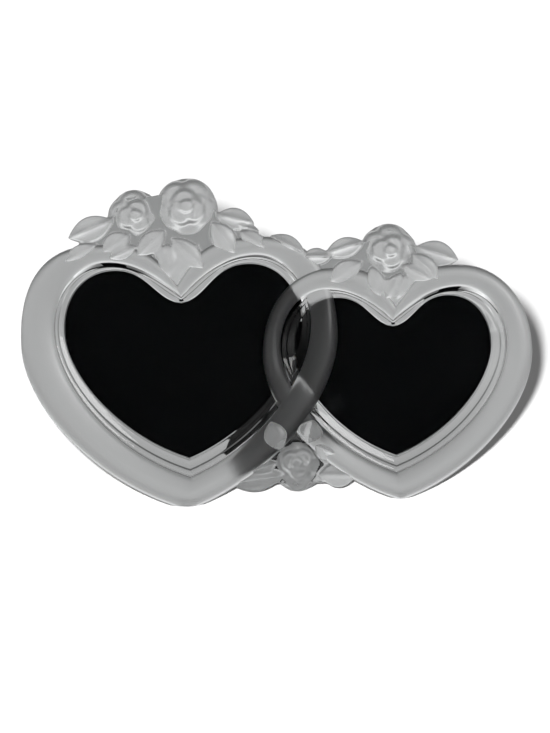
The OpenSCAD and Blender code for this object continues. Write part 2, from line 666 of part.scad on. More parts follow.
glass_body();
black_card();
foam_pad();
backing_board();
velvet_back();
spring_clip(clip_sites()[0]);  // spring_clip_1
spring_clip(clip_sites()[1]);  // spring_clip_2
spring_clip(clip_sites()[2]);  // spring_clip_3
spring_clip(clip_sites()[3]);  // spring_clip_4
spring_clip(clip_sites()[4]);  // spring_clip_5
spring_clip(clip_sites()[5]);  // spring_clip_6
clip_rivets();
hinge_fixed_leaf();
fixed_leaf_rivets();
hinge_pin();
hinge_moving_leaf();
moving_leaf_rivets();
leg_board();
leg_velvet();
stay_ribbon();
board_eyelet();
leg_eyelet();
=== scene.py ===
# %% [markdown]
# # A pressed-glass double heart photo frame
# The real object is one casting of pressed glass: two heart-shaped bands that pass over and under
# each other, with roses and leaves in relief. The bands are frosted, the windows and the stepped
# bevel round them are polished. A velvet-covered back lies in a recess behind the windows, held by
# brass spring clips, and a hinged leg props the frame up.
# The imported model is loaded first, because every piece is placed from it.

# %% Load the frame
import json
from math import atan2, cos, pi, radians, sin

import bmesh
import bpy
import numpy as np
from mathutils import Matrix, Vector


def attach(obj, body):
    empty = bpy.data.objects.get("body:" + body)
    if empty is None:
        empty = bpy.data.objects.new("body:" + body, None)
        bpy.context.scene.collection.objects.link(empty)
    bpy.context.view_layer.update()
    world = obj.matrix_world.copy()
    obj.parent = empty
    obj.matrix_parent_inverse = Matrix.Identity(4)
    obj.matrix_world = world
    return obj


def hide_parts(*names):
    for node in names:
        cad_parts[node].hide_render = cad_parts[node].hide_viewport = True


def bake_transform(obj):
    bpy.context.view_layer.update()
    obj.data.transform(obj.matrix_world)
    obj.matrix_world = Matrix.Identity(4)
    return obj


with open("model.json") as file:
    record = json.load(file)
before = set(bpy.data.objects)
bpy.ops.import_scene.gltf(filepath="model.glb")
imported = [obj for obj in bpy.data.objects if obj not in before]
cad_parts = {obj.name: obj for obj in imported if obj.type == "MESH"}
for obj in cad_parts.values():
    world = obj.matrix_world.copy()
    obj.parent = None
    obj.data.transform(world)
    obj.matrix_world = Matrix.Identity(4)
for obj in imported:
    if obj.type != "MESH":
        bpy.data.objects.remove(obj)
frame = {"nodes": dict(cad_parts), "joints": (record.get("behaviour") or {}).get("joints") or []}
scene = bpy.context.scene
MM = 0.001
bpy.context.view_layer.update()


# %% [markdown]
# ## The plane of the glass
# The casting leans back by 15 degrees. Everything on it is drawn in that plane: x across, y up the
# glass and z towards the front. The leg's hinge axis ties that plane to the model: its place in the
# plane is written here, its place in the frame is read from the model, and together they give the
# plane's origin.

# %% The glass plane in the frame
LEAN = radians(15)
LEG_X, HINGE_Y, HINGE_Z = -6.965, 79.734, 0.5
ACROSS = Vector((1, 0, 0))
UP_GLASS = Vector((0, sin(LEAN), cos(LEAN)))
TO_FRONT = Vector((0, -cos(LEAN), sin(LEAN)))
PLANE = np.array([ACROSS, UP_GLASS, TO_FRONT])

leg_joint = [j for j in frame["joints"] if j["name"] == "leg_fold"][0]
hinge_axis = Vector(leg_joint["pos_m"])
origin = hinge_axis - (ACROSS * LEG_X + UP_GLASS * HINGE_Y + TO_FRONT * HINGE_Z) * MM


def to_frame(points):
    """Points of the glass plane, in millimetres, as places in the frame, in metres."""
    return np.array(points, float) @ PLANE * MM + np.array(origin)


def from_frame(points):
    """Places in the frame, in metres, as points of the glass plane, in millimetres."""
    return (np.array(points, float) - np.array(origin)) @ PLANE.T / MM


print("origin of the glass plane in mm:", [round(v / MM, 2) for v in origin])

# %% [markdown]
# ## The camera
# The picture was taken about square to the glass, and the frame sits in it turned by 2 degrees. The
# camera repeats that turn. Its distance can't be read from the picture, so 1.5 m is a guess. Its
# lens follows from the field: so many millimetres fill the picture's height at the bands' crown.

# %% Set up the camera
CROWN_Z = 14.0
VIEW_CENTRE = (-6.76, 63.76)
VIEW_DISTANCE, VIEW_HEIGHT = 1500.0, 329.85
VIEW_ROLL = radians(2)
SENSOR = 24.0


def add_object(name, data):
    """A new object in the scene."""
    thing = bpy.data.objects.new(name, data)
    scene.collection.objects.link(thing)
    return thing


camera = add_object("camera", bpy.data.cameras.new("camera"))
camera.data.sensor_fit = "VERTICAL"
camera.data.sensor_height = SENSOR
camera.data.lens = SENSOR * VIEW_DISTANCE / VIEW_HEIGHT
right = ACROSS * cos(VIEW_ROLL) - UP_GLASS * sin(VIEW_ROLL)
up = ACROSS * sin(VIEW_ROLL) + UP_GLASS * cos(VIEW_ROLL)
place = Vector(to_frame([*VIEW_CENTRE, CROWN_Z + VIEW_DISTANCE]))
camera.matrix_world = Matrix.Translation(place) @ Matrix([right, up, TO_FRONT]).transposed().to_4x4()
scene.camera = camera
print("lens in mm:", round(camera.data.lens, 1))

# %% [markdown]
# ## The studio
# Glass has hardly a colour of its own: it shows what is round it. A picture of a room could be
# wrapped round the scene, but a few levels are enough and easy to change. So the world has one
# level for matt surfaces and white for the camera. What shines or lets light through sees levels
# by direction: dim below, a bright band just above the horizon and dark overhead. They draw the
# edges of the glass. A material is a tree of nodes, so a few helpers for trees come first.

# %% Helpers for node trees
def add_node(tree, kind, inputs=(), **settings):
    """A node with its settings and the values or links of some inputs."""
    node = tree.nodes.new(kind)
    for name, value in settings.items():
        setattr(node, name, value)
    for name, value in dict(inputs).items():
        if isinstance(value, bpy.types.NodeSocket):
            tree.links.new(value, node.inputs[name])
        else:
            node.inputs[name].default_value = value
    return node


def maths(tree, operation, *values):
    return add_node(tree, "ShaderNodeMath", dict(enumerate(values)), operation=operation).outputs[0]


def spread(tree, value, low, high, start=0.0, end=1.0):
    """A value between start and end, spread over another range."""
    inputs = {"Value": value, "From Min": start, "From Max": end, "To Min": low, "To Max": high}
    return add_node(tree, "ShaderNodeMapRange", inputs).outputs["Result"]


def ray_kind(tree, *kinds):
    """1 for rays of these kinds, 0 for the others."""
    path = add_node(tree, "ShaderNodeLightPath")
    found = path.outputs[kinds[0]]
    for kind in kinds[1:]:
        found = maths(tree, "MAXIMUM", found, path.outputs[kind])
    return found


def place_of(tree, kind="Object"):
    """The coordinates of the point that is shaded."""
    return add_node(tree, "ShaderNodeTexCoord").outputs[kind]


def gray(level):
    return (level, level, level, 1)


def white_light(tree, kind, strength):
    return add_node(tree, kind, {"Color": gray(1), "Strength": strength}).outputs[0]


def mix_shader(tree, share, first, second):
    return add_node(tree, "ShaderNodeMixShader", {0: share, 1: first, 2: second}).outputs[0]


# %% The world
WORLD_LEVEL = 0.3
# Sideways and from the front it is dimmer: the level, and the part of the direction that it starts
# and ends at
SIDE_LEVEL, SIDE_START, SIDE_END = 0.6, 0.25, 0.75
FRONT_LEVEL, FRONT_REACH = 0.8, 0.3
# The sine of a view's height, from -1 below to 1 above, and its level
SURROUNDINGS = [(-1, 0.1), (-0.7, 0.14), (-0.5, 0.34), (-0.3, 0.6), (-0.2, 0.47), (0, 0.62),
                (0.1, 0.95), (0.17, 1.5), (0.26, 1.0), (0.36, 0.3), (0.6, 0.08), (1, 0.05)]
LEVEL_SCALE = 2.0

scene.view_settings.view_transform = "Standard"
scene.world = bpy.data.worlds.new("studio")
scene.world.use_nodes = True
tree = scene.world.node_tree
tree.nodes.clear()
way = add_node(tree, "ShaderNodeSeparateXYZ", {0: place_of(tree, "Generated")})
side = maths(tree, "ABSOLUTE", way.outputs["X"])
side = spread(tree, side, 1, SIDE_LEVEL, SIDE_START, SIDE_END)
front = spread(tree, way.outputs["Y"], FRONT_LEVEL, 1, -FRONT_REACH, FRONT_REACH)
ramp = add_node(tree, "ShaderNodeValToRGB", {"Fac": spread(tree, way.outputs["Z"], 0, 1, -1, 1)})
for number, (height, level) in enumerate(SURROUNDINGS):
    spot = (height + 1) / 2
    stops = ramp.color_ramp.elements
    stop = stops[number] if number < 2 else stops.new(spot)
    stop.position = spot
    stop.color = gray(level / LEVEL_SCALE)
level = maths(tree, "MULTIPLY", ramp.outputs[0], LEVEL_SCALE)
level = maths(tree, "MULTIPLY", maths(tree, "MULTIPLY", side, front), level)
plain, through, white = (white_light(tree, "ShaderNodeBackground", s) for s in (WORLD_LEVEL, level, 1.0))
seen = mix_shader(tree, ray_kind(tree, "Is Glossy Ray", "Is Transmission Ray"), plain, through)
seen = mix_shader(tree, ray_kind(tree, "Is Camera Ray"), seen, white)
add_node(tree, "ShaderNodeOutputWorld", {"Surface": seen})
print("levels of the studio:", len(SURROUNDINGS))

# %% [markdown]
# ## The floor
# The ground of the picture is plain white with a soft shadow. A white floor under strong lamps
# would do, but it would also light the glass from below. So this one is half grey, lit to white
# by a lamp of its own, and far off it glows a little for the camera alone. Rays from the glass
# pass through it and see the studio.

# %% The floor
FLOOR_SIZE, FLOOR_COLOR = 8.0, 0.5
GLOW, GLOW_NEAR, GLOW_FAR = 0.5, 0.3, 1.3


def new_material(name):
    """An empty material and its tree."""
    material = bpy.data.materials.new(name)
    material.use_nodes = True
    material.node_tree.nodes.clear()
    return material, material.node_tree


def mesh_object(name, vertices, faces):
    mesh = bpy.data.meshes.new(name)
    mesh.from_pydata([tuple(v) for v in vertices], [], [tuple(int(i) for i in f) for f in faces])
    mesh.validate()
    return add_object(name, mesh)


def square(half):
    return np.array([(-half, -half), (half, -half), (half, half), (-half, half)])


floor = mesh_object("floor", [(x, y, 0) for x, y in square(FLOOR_SIZE / 2)], [(0, 1, 2, 3)])
floor_paint, tree = new_material("floor_paint")
matte = add_node(tree, "ShaderNodeBsdfDiffuse", {"Color": gray(FLOOR_COLOR)})
away = add_node(tree, "ShaderNodeVectorMath", {0: place_of(tree)}, operation="LENGTH").outputs["Value"]
glow = spread(tree, away, 0, GLOW, GLOW_NEAR, GLOW_FAR)
glow = white_light(tree, "ShaderNodeEmission", maths(tree, "MULTIPLY", glow, ray_kind(tree, "Is Camera Ray")))
lit = add_node(tree, "ShaderNodeAddShader", {0: matte.outputs[0], 1: glow}).outputs[0]
clear = add_node(tree, "ShaderNodeBsdfTransparent").outputs[0]
seen = mix_shader(tree, ray_kind(tree, "Is Glossy Ray", "Is Transmission Ray"), lit, clear)
add_node(tree, "ShaderNodeOutputMaterial", {"Surface": seen})
floor.data.materials.append(floor_paint)
print("floor in m:", FLOOR_SIZE)

# %% [markdown]
# ## Lamps
# Two soft lamps put highlights on the rims of the glass: one high on the left, one in front on the
# right. They are kept off the floor, or they would wash out its shadow.
# That shadow lies close along the frame's right and lower edges, as from a lamp beside the camera,
# a little to its left and higher. Such a lamp would show in the windows, so it lights the floor
# alone. It doesn't fall off with distance, which keeps the floor even.

# %% Lamps
SHADOW_LEFT, SHADOW_UP, SHADOW_SIZE, SHADOW_POWER = 0.04, 0.045, 0.018, 260


def area_lamp(name, size, power, place, target):
    """A square lamp of that size that points at a target and doesn't light the floor."""
    lamp = add_object(name, bpy.data.lights.new(name, "AREA"))
    lamp.data.size = size
    lamp.data.energy = power
    way = Vector(target) - Vector(place)
    lamp.matrix_world = Matrix.Translation(place) @ way.to_track_quat("-Z", "Y").to_matrix().to_4x4()
    lamp.light_linking.receiver_collection = not_floor


not_floor, floor_only = (bpy.data.collections.new(name) for name in ("not_floor", "floor_only"))
for collection in (not_floor, floor_only):
    collection.objects.link(floor)
not_floor.collection_objects[0].light_linking.link_state = "EXCLUDE"
area_lamp("top_lamp", 0.9, 6, (-0.5, -0.3, 1.5), (0, 0, 0.05))
area_lamp("front_lamp", 0.6, 7, (0.7, -1.2, 0.8), (0, 0, 0.07))

shadow_lamp = add_object("shadow_lamp", bpy.data.lights.new("shadow_lamp", "POINT"))
shadow_lamp.data.energy = SHADOW_POWER
shadow_lamp.data.shadow_soft_size = SHADOW_SIZE
shadow_lamp.data.use_nodes = True
tree = shadow_lamp.data.node_tree
even = add_node(tree, "ShaderNodeLightFalloff", {"Strength": 1.0}).outputs["Constant"]
tree.links.new(even, tree.nodes["Emission"].inputs["Strength"])
shadow_lamp.location = camera.matrix_world.translation - ACROSS * SHADOW_LEFT + UP_GLASS * SHADOW_UP
shadow_lamp.light_linking.receiver_collection = floor_only

# %% [markdown]
# ## The hearts' outlines
# Each heart is drawn as three Bezier curves for its right half, mirrored: from the cleft to the top
# of the lobe, on to the widest point, and down to the tip. The same few handles, as shares of the
# half width and the height, give the outer edge of a band. A second set gives its inner edge and a
# third the window. A traced outline would need hundreds of points and couldn't be changed by hand.

# %% Sizes and handles
LARGE_W, LARGE_H, HEIGHT_STEP = 143.0, 122.0, 16.0
SMALL_W = 121.6
INTERLOCK, TIP_RISE, WINDOW_SHIFT = 36.3, 1.1, 1.7
LARGE_TURN, SMALL_TURN = 1.0, -0.6
PANE_FRONT, PANE_T, BAND_H, CROSSING_REACH = 9.0, 3.0, 5.0, 24.0
TIP_GAP = (LARGE_W + SMALL_W) / 2 - INTERLOCK
RECESS_D = PANE_FRONT - PANE_T
# Shares: cleft's height, lobe's place, side's height, six lengths of handles, and two angles
LARGE_SHAPE = (0.84, 0.53, 0.64, 0.3, 0.24, 0.28, 0.25, 0.25, 0.53, 60, 17)
SMALL_SHAPE = (0.84, 0.48, 0.63, 0.3, 0.24, 0.25, 0.24, 0.245, 0.53, 60, 17)
EDGE_SHAPE = (0.825, 0.58, 0.69, 0.12, 0.28, 0.24, 0.18, 0.225, 0.66, 45, 20.5)
PANE_SHAPE = (0.812, 0.57, 0.69, 0.22, 0.3, 0.24, 0.19, 0.22, 0.64, 6, 20.5)
CURVE_STEPS = (30, 44, 60)
print("between the tips in mm:", round(TIP_GAP, 1), "depth of the recess:", RECESS_D)


# %% Heart outlines
def place_in(points, heart):
    """Points of an upright heart, its tip at the origin, turned and moved to their place."""
    x, y = np.array(points, float).T
    turn = radians(heart[2])
    return np.stack([heart[0] + x * cos(turn) - y * sin(turn),
                     heart[1] + x * sin(turn) + y * cos(turn)], -1)


def on_heart(shares, heart):
    return place_in([(shares[0] * heart[3], shares[1] * heart[4])], heart)[0]


def half_curves(heart, shape):
    """The three curves of the right half, four control points each."""
    a, b = heart[3], heart[4]
    cleft, lobe, side = (np.array(p) for p in ([0, shape[0] * b], [shape[1] * a, b], [a, shape[2] * b]))
    cleft_way, tip_way = (np.array([cos(radians(turn)), sin(radians(turn))]) for turn in shape[9:11])
    return [[cleft, cleft + a * shape[3] * cleft_way, lobe - (shape[4] * a, 0), lobe],
            [lobe, lobe + (shape[5] * a, 0), side + (0, shape[6] * b), side],
            [side, side - (0, shape[7] * b), a * shape[8] * tip_way, np.zeros(2)]]


def bezier(curve, t):
    """The point of a cubic curve at a share of its way."""
    weights = ((1 - t) ** 3, 3 * t * (1 - t) ** 2, 3 * t * t * (1 - t), t ** 3)
    return sum(c * w for c, w in zip(curve, weights))


def heart_outline(heart, shape):
    half = [bezier(curve, t) for curve, count in zip(half_curves(heart, shape), CURVE_STEPS)
            for t in np.arange(count) / count]
    mirrored = [(-x, y) for x, y in half[:0:-1]]
    return place_in(half + [(0, 0)] + mirrored, heart)[::-1]


def inset(heart, side, tip, top, shift):
    """A smaller heart inside another one."""
    x, y = place_in([(shift, tip)], heart)[0]
    return (x, y, heart[2], heart[3] - side, heart[4] - tip - top)


large = (-TIP_GAP / 2, 0, LARGE_TURN, LARGE_W / 2, LARGE_H)
small = (TIP_GAP / 2, TIP_RISE, SMALL_TURN, SMALL_W / 2, LARGE_H - HEIGHT_STEP)
large_frost = inset(large, 13.6, 15.0, 8.3, WINDOW_SHIFT)
small_frost = inset(small, 9.8, 12.8, 9.8, -WINDOW_SHIFT)
large_window = inset(large_frost, 4.1, 8.3, 3.2, 0)
small_window = inset(small_frost, 6.6, 7.5, 3.3, 0)
outlines = {name: heart_outline(heart, shape) for name, heart, shape in (
    ("large_out", large, LARGE_SHAPE), ("large_edge", large_frost, EDGE_SHAPE),
    ("large_pane", large_window, PANE_SHAPE), ("small_out", small, SMALL_SHAPE),
    ("small_edge", small_frost, EDGE_SHAPE), ("small_pane", small_window, PANE_SHAPE))}
print("stations on an outline:", len(outlines["large_out"]))

# %% [markdown]
# ## Solids for the casting
# A press mould gives a casting without undercuts, so each form is a height over the plane. A heart
# is a closed solid whose rings follow the outlines, and the solids are united by booleans. Their
# Manifold solver is fast and gives a watertight mesh, but needs closed solids to start with.

# %% Closed solids
def ring_faces(rows, count):
    """Quads between rings of points, lowest ring first, turning left as seen from the front."""
    row, i = np.meshgrid(np.arange(rows - 1), np.arange(count), indexing="ij")
    a, b = row * count + i, row * count + (i + 1) % count
    return np.stack([a, b, b + count, a + count], -1).reshape(-1, 4).tolist()


def closed_rings(name, rings):
    """A solid through rings of points, closed by one face at each end."""
    count = len(rings[0])
    faces = ring_faces(len(rings), count)
    faces.append(list(range(count))[::-1])
    faces.append(list(range((len(rings) - 1) * count, len(rings) * count)))
    return mesh_object(name, np.concatenate(rings), faces)


def at_level(points, z):
    return np.column_stack([points, np.broadcast_to(z, len(points))])


def prism(name, outline, low, high):
    return closed_rings(name, [at_level(outline, z) for z in (low, high)])


def ground_block():
    """The space under the table, in metres: 0.5 m wide and 0.1 m deep."""
    return prism("ground", square(0.25), -0.1, 0)


# %% Changes to a solid
def apply_modifiers(piece):
    """The evaluated shape becomes the plain mesh, and the modifiers go."""
    shape = piece.evaluated_get(bpy.context.evaluated_depsgraph_get())
    mesh = bpy.data.meshes.new_from_object(shape)
    piece.modifiers.clear()
    piece.data = mesh


def combine(piece, other, how):
    """A boolean of two solids, applied, with the other one removed."""
    modifier = piece.modifiers.new("cut", "BOOLEAN")
    modifier.object = other
    modifier.operation = how
    modifier.solver = "MANIFOLD"
    modifier.material_mode = "TRANSFER"
    apply_modifiers(piece)
    bpy.data.objects.remove(other)


def values_of(items, key, width=3, kind=float):
    """What a mesh says of each of its vertices or faces, as an array."""
    found = np.zeros(len(items) * width, kind)
    items.foreach_get(key, found)
    return found.reshape(-1, width) if width > 1 else found


def move(piece, way):
    """Every point of a piece goes where the function says."""
    spots = np.asarray(way(values_of(piece.data.vertices, "co")))
    piece.data.vertices.foreach_set("co", spots.ravel())
    piece.data.update()
    return piece


def gap_to(outline, points):
    """Each point's distance to the nearest point of an outline."""
    return np.linalg.norm(points[:, None] - outline[None], axis=2).min(axis=1)


# %% [markdown]
# ## The bands
# Across a band lie the rounded side, the frosted crown, a fine groove at the frost's edge, two
# polished steps and the window. Where a band dives under the other it loses half its height. The
# groove is wide and deep in two places of each heart, where the picture shows black crescents.

# %% Sections of a band
# Shares of the way inwards and of the band's height: the crown, then the steps
BAND_SHARES = [(0, 0.2), (0.04, 0.52), (0.13, 0.8), (0.3, 0.97), (0.5, 1), (0.72, 0.92), (0.92, 0.76), (1, 0.6)]
BAND_ROWS = 22
BEVEL_SHARES = [(0.03, 0.4), (0.05, 0.38), (0.07, 0.4), (0.1, 0.5), (0.12, 0.51), (0.34, 0.44), (0.37, 0.42),
                (0.46, 0.2), (0.49, 0.18), (0.84, 0.12), (0.93, 0.08), (0.97, 0.02), (1, 0)]
DIVE_SHARE, MIDDLE_SHARE = 0.5, 0.45
# A crescent: place on the outline, reach, strength. Places run from 0 at the tip, up the left side,
# over both lobes to 1 at the tip again.
CRESCENTS = {"large": [(0.4, 0.07, 1.0), (0.62, 0.05, 0.4)], "small": [(0.34, 0.04, 0.6), (0.6, 0.07, 1.0)]}
GROOVE_END, GROOVE_FLOOR, GROOVE_WIDE, GROOVE_DEEP = 0.03, 0.07, 0.36, 0.42


def smooth_line(points, count):
    """Points of a section, rounded by a monotone cubic between the given ones."""
    p = np.array(points, float)
    t = np.concatenate([[0], np.cumsum(np.linalg.norm(np.diff(p, axis=0), axis=1))])
    s = np.linspace(0, t[-1], count)
    out = []
    for k in range(2):
        d = np.diff(p[:, k]) / np.diff(t)
        inner = [0 if a * b <= 0 else 2 * a * b / (a + b) for a, b in zip(d, d[1:])]
        m = np.concatenate([[d[0]], inner, [d[-1]]])
        i = np.clip(np.searchsorted(t, s, side="right") - 1, 0, len(d) - 1)
        h = t[i + 1] - t[i]
        u = (s - t[i]) / h
        out.append((2 * u ** 3 - 3 * u ** 2 + 1) * p[i, k] + (u ** 3 - 2 * u ** 2 + u) * h * m[i]
                   + (3 * u ** 2 - 2 * u ** 3) * p[i + 1, k] + (u ** 3 - u ** 2) * h * m[i + 1])
    return np.stack(out, -1)


def crescent(name):
    """How much wider and deeper the groove is at each station of an outline."""
    p = outlines[name + "_edge"]
    steps = np.linalg.norm(np.diff(np.vstack([p, p[:1]]), axis=0), axis=1)
    place = np.concatenate([[0], np.cumsum(steps)]) / steps.sum()
    place = (place[:-1] - place[p[:, 1].argmin()]) % 1
    return sum(k * np.exp(-((1 - place - at) / reach) ** 2) for at, reach, k in CRESCENTS[name])[:, None]


# %% The two hearts
def crossing(way):
    """Where the middle lines of the two bands cross, above (1) or below (-1) half the height."""
    lines = [outlines[n + "_out"] * (1 - MIDDLE_SHARE) + outlines[n + "_edge"] * MIDDLE_SHARE
             for n in ("large", "small")]
    a, b = [line[(line[:, 1] - LARGE_H / 2) * way > 0] for line in lines]
    gaps = np.linalg.norm(a[:, None] - b[None], axis=2)
    i, j = np.unravel_index(gaps.argmin(), gaps.shape)
    return (a[i] + b[j]) / 2


def dive(points, cross):
    """The share of its height that a band keeps near a crossing."""
    d = np.linalg.norm(points - cross, axis=1) / CROSSING_REACH
    return np.where(d < 1, 1 - DIVE_SHARE * (1 + np.cos(pi * np.minimum(d, 1))) / 2, 1)


def heart_rings(name, cross):
    out, edge, pane = (outlines[name + "_" + part] for part in ("out", "edge", "pane"))
    wide = crescent(name)
    rings = [at_level(out, 0)]
    for along, height in smooth_line(BAND_SHARES, BAND_ROWS):
        p = out * (1 - along) + edge * along
        rings.append(at_level(p, PANE_FRONT + BAND_H * height * dive(p, cross)))
    for along, height in BEVEL_SHARES:
        near = min(along / GROOVE_END, 1)
        shift = near * GROOVE_WIDE * wide * (1 - along) / (1 - GROOVE_END)
        depth = GROOVE_DEEP * wide[:, 0] * (along <= GROOVE_FLOOR)
        p = edge * (1 - along - shift) + pane * (along + shift)
        rings.append(at_level(p, PANE_FRONT + BAND_H * (height - depth) * dive(p, cross)))
    return rings


upper_crossing, lower_crossing = crossing(1), crossing(-1)
casting = closed_rings("cast_glass", heart_rings("large", upper_crossing))
combine(casting, closed_rings("small_heart", heart_rings("small", lower_crossing)), "UNION")
print("faces of two hearts:", len(casting.data.polygons),
      "crossings:", upper_crossing.round(1), lower_crossing.round(1))

# %% [markdown]
# ## Roses
# A moulder carves a rose as overlapping dishes: each petal is a shallow bowl with a raised rim, and
# the highest one shows. Sculpting one by hand would look livelier but couldn't be repeated. Here
# the petals' heights are added as high powers, which picks the highest and rounds the seams.

# %% Roses
ROSE_H = 19.0
ROSE_RINGS, ROSE_SIDES, ROSE_MIDDLE, ROSE_FOOT = 46, 150, 0.004, 0.4
#             petals, distance, size, level, rim, outward slope, turn
ROSE_PETALS = [(5, 0.44, 0.6, 0.58, 0.07, 0.15, 10), (3, 0.22, 0.47, 0.73, 0.13, 0.05, 50),
               (1, 0.05, 0.28, 0.86, 0.08, 0.0, 20)]
RIM_SHARE, BLEND_POWER = 0.5, 11


def rose_height(x, y, turn):
    """Height of a rose of radius 1 and height 1 over its middle."""
    total = np.zeros_like(x)
    for count, distance, size, level, rim, slope, start in ROSE_PETALS:
        for k in range(count):
            angle = radians(start + turn + 360 * k / count)
            out = x * cos(angle) + y * sin(angle) - distance
            u = np.hypot(out, y * cos(angle) - x * sin(angle)) / size
            edge = np.clip((1 - u) / RIM_SHARE, 0, 1)
            petal = (level + rim * u ** 2 - slope * out / size) * np.sqrt(edge * (2 - edge))
            total += petal ** BLEND_POWER
    return total ** (1 / BLEND_POWER)


def rose(name, middle, r, h, turn):
    """A closed solid on a polar grid, from the flat back to the petals."""
    angles = 2 * pi * np.arange(ROSE_SIDES) / ROSE_SIDES
    rings = []
    for share in np.linspace(1, ROSE_MIDDLE, ROSE_RINGS):
        x, y = share * np.cos(angles), share * np.sin(angles)
        height = np.maximum(h * rose_height(x, y, turn), ROSE_FOOT)
        rings.append(np.column_stack([middle[0] + r * x, middle[1] + r * y, height]))
    rings.insert(0, rings[0] * (1, 1, 0))
    return closed_rings(name, rings)


low_middle = np.array([0.021, 0.204]) * TIP_GAP
roses = [rose("bud", on_heart((-0.243, 1.098), large), 12.4, ROSE_H * 0.86, 15),
         rose("large_rose", on_heart((0.085, 1.118), large), 14.2, ROSE_H, 50),
         rose("small_rose", on_heart((-0.047, 1.064), small), 12.8, ROSE_H * 0.94, 0),
         rose("low_rose", low_middle, 12.6, ROSE_H * 0.94, 110)]
print("roses:", len(roses))

# %% [markdown]
# ## Leaves
# A leaf is a pointed oval with a rib, dished on both sides of it. The leaves that lie on a band
# are higher than the others and have a flatter rib. Each is six shares in a table, so a leaf that
# doesn't match the picture is moved by changing a number.

# %% Leaves
LEAF_EDGE_H, LEAF_RIB_H, LOW_RIB, HIGH_LEAF = 11.0, 3.0, 0.65, 1.15
LEAF_ALONG, LEAF_ACROSS, LEAF_MARGIN, LEAF_ROUND, ROUND_RISE = 22, 14, 0.06, 0.16, 0.07
RIB_SLOPE, RIB_POWER, RIB_TAPER = 0.25, 2.2, 0.35
# Leaves as shares: base, tip, width, lift of the edge
LARGE_LEAVES = [(-0.38, 1.09, -0.67, 1.03, 0.16, 0.95), (-0.49, 1, -0.71, 0.94, 0.11, 1.22),
                (-0.28, 1.03, -0.46, 0.97, 0.14, 1.24), (-0.24, 0.985, -0.42, 0.945, 0.09, 1.28),
                (-0.06, 1.04, -0.24, 0.95, 0.13, 1.3), (-0.05, 0.99, -0.04, 0.87, 0.13, 1.32),
                (-0.02, 1.01, 0.18, 0.89, 0.14, 1.3), (0.24, 1.06, 0.38, 0.94, 0.15, 1.26),
                (0.27, 1.09, 0.51, 1.05, 0.14, 0.95), (0.39, 1.05, 0.54, 1.02, 0.06, 0.9),
                (0.41, 1.02, 0.59, 0.95, 0.11, 1.2), (0.6, 1, 0.82, 0.93, 0.12, 1.1)]
SMALL_LEAVES = [(-0.23, 1.11, -0.52, 1.06, 0.15, 0.95), (-0.47, 1.05, -0.7, 1.05, 0.13, 1),
                (-0.25, 1.02, -0.5, 0.94, 0.16, 1.25), (-0.18, 1, -0.12, 0.87, 0.13, 1.3),
                (0.04, 0.97, -0.08, 0.86, 0.11, 1.3), (0.07, 0.96, 0, 0.86, 0.1, 1.32),
                (0.05, 1, 0.27, 0.94, 0.13, 1.28), (0.15, 1.08, 0.47, 1.02, 0.19, 0.95),
                (0.12, 1.05, 0.33, 0.93, 0.15, 1.22)]
LOW_LEAVES = [(-0.06, 0.27, -0.1, 0.41, 0.11, 1.42), (0.07, 0.3, 0.1, 0.41, 0.12, 1.42),
              (0.1, 0.29, 0.21, 0.24, 0.1, 1.15), (0.16, 0.23, 0.3, 0.19, 0.08, 1),
              (0.12, 0.15, 0.3, 0.14, 0.12, 0.95), (-0.05, 0.15, -0.3, 0.12, 0.11, 0.92),
              (-0.08, 0.21, -0.21, 0.17, 0.06, 1)]


def leaf(base, tip, width, lift):
    """A closed solid: rings from the outline to a line along the middle."""
    way = np.array(tip) - base
    length = np.linalg.norm(way)
    way = way / length
    side = np.array([-way[1], way[0]])
    angles = 2 * pi * np.arange(LEAF_ALONG * 2) / (LEAF_ALONG * 2)
    t = (1 - np.cos(angles)) / 2
    reach = -2 * width * t * (1 - t) * np.sign(np.sin(angles))
    outline = base + np.outer(length * t, way) + np.outer(reach, side)
    middle = base + np.outer(length * (LEAF_MARGIN + (1 - 2 * LEAF_MARGIN) * t), way)
    rib_h = LEAF_RIB_H * (LOW_RIB if lift > HIGH_LEAF else 1)
    rings = [at_level(outline, 0)]
    for share in np.linspace(0, 1, LEAF_ACROSS):
        edge = min(share / LEAF_ROUND, 1)
        rounding = (edge * (2 - edge)) ** 0.5
        rib = rib_h * (RIB_SLOPE * share + (1 - RIB_SLOPE) * share ** RIB_POWER) * (4 * t * (1 - t)) ** RIB_TAPER
        height = LEAF_EDGE_H * lift * (1 - ROUND_RISE + ROUND_RISE * rounding) + rib
        rings.append(at_level(outline * (1 - share) + middle * share, height))
    return closed_rings("leaf", rings)


leaves = []
for shares_list, spot, unit in ((LARGE_LEAVES, lambda s: on_heart(s, large), large[3]),
                                (SMALL_LEAVES, lambda s: on_heart(s, small), small[3]),
                                (LOW_LEAVES, lambda s: np.array(s) * TIP_GAP, TIP_GAP)):
    leaves += [leaf(spot(s[0:2]), spot(s[2:4]), s[4] * unit, s[5]) for s in shares_list]
print("leaves:", len(leaves))

# %% [markdown]
# ## Melting the relief into the casting
# Between the flowers the glass is a plain web, and a pad fills each cleft. Flowers, web and pads
# are remeshed in small voxels and smoothed, because fire polishing rounds every crease of the
# glass. Then they are united with the hearts. The recess for the back is cut from behind, and the
# ground cuts both tips flat. Each of the two meshes brings a material as a mark, so that relief
# and bands can be told apart afterwards.

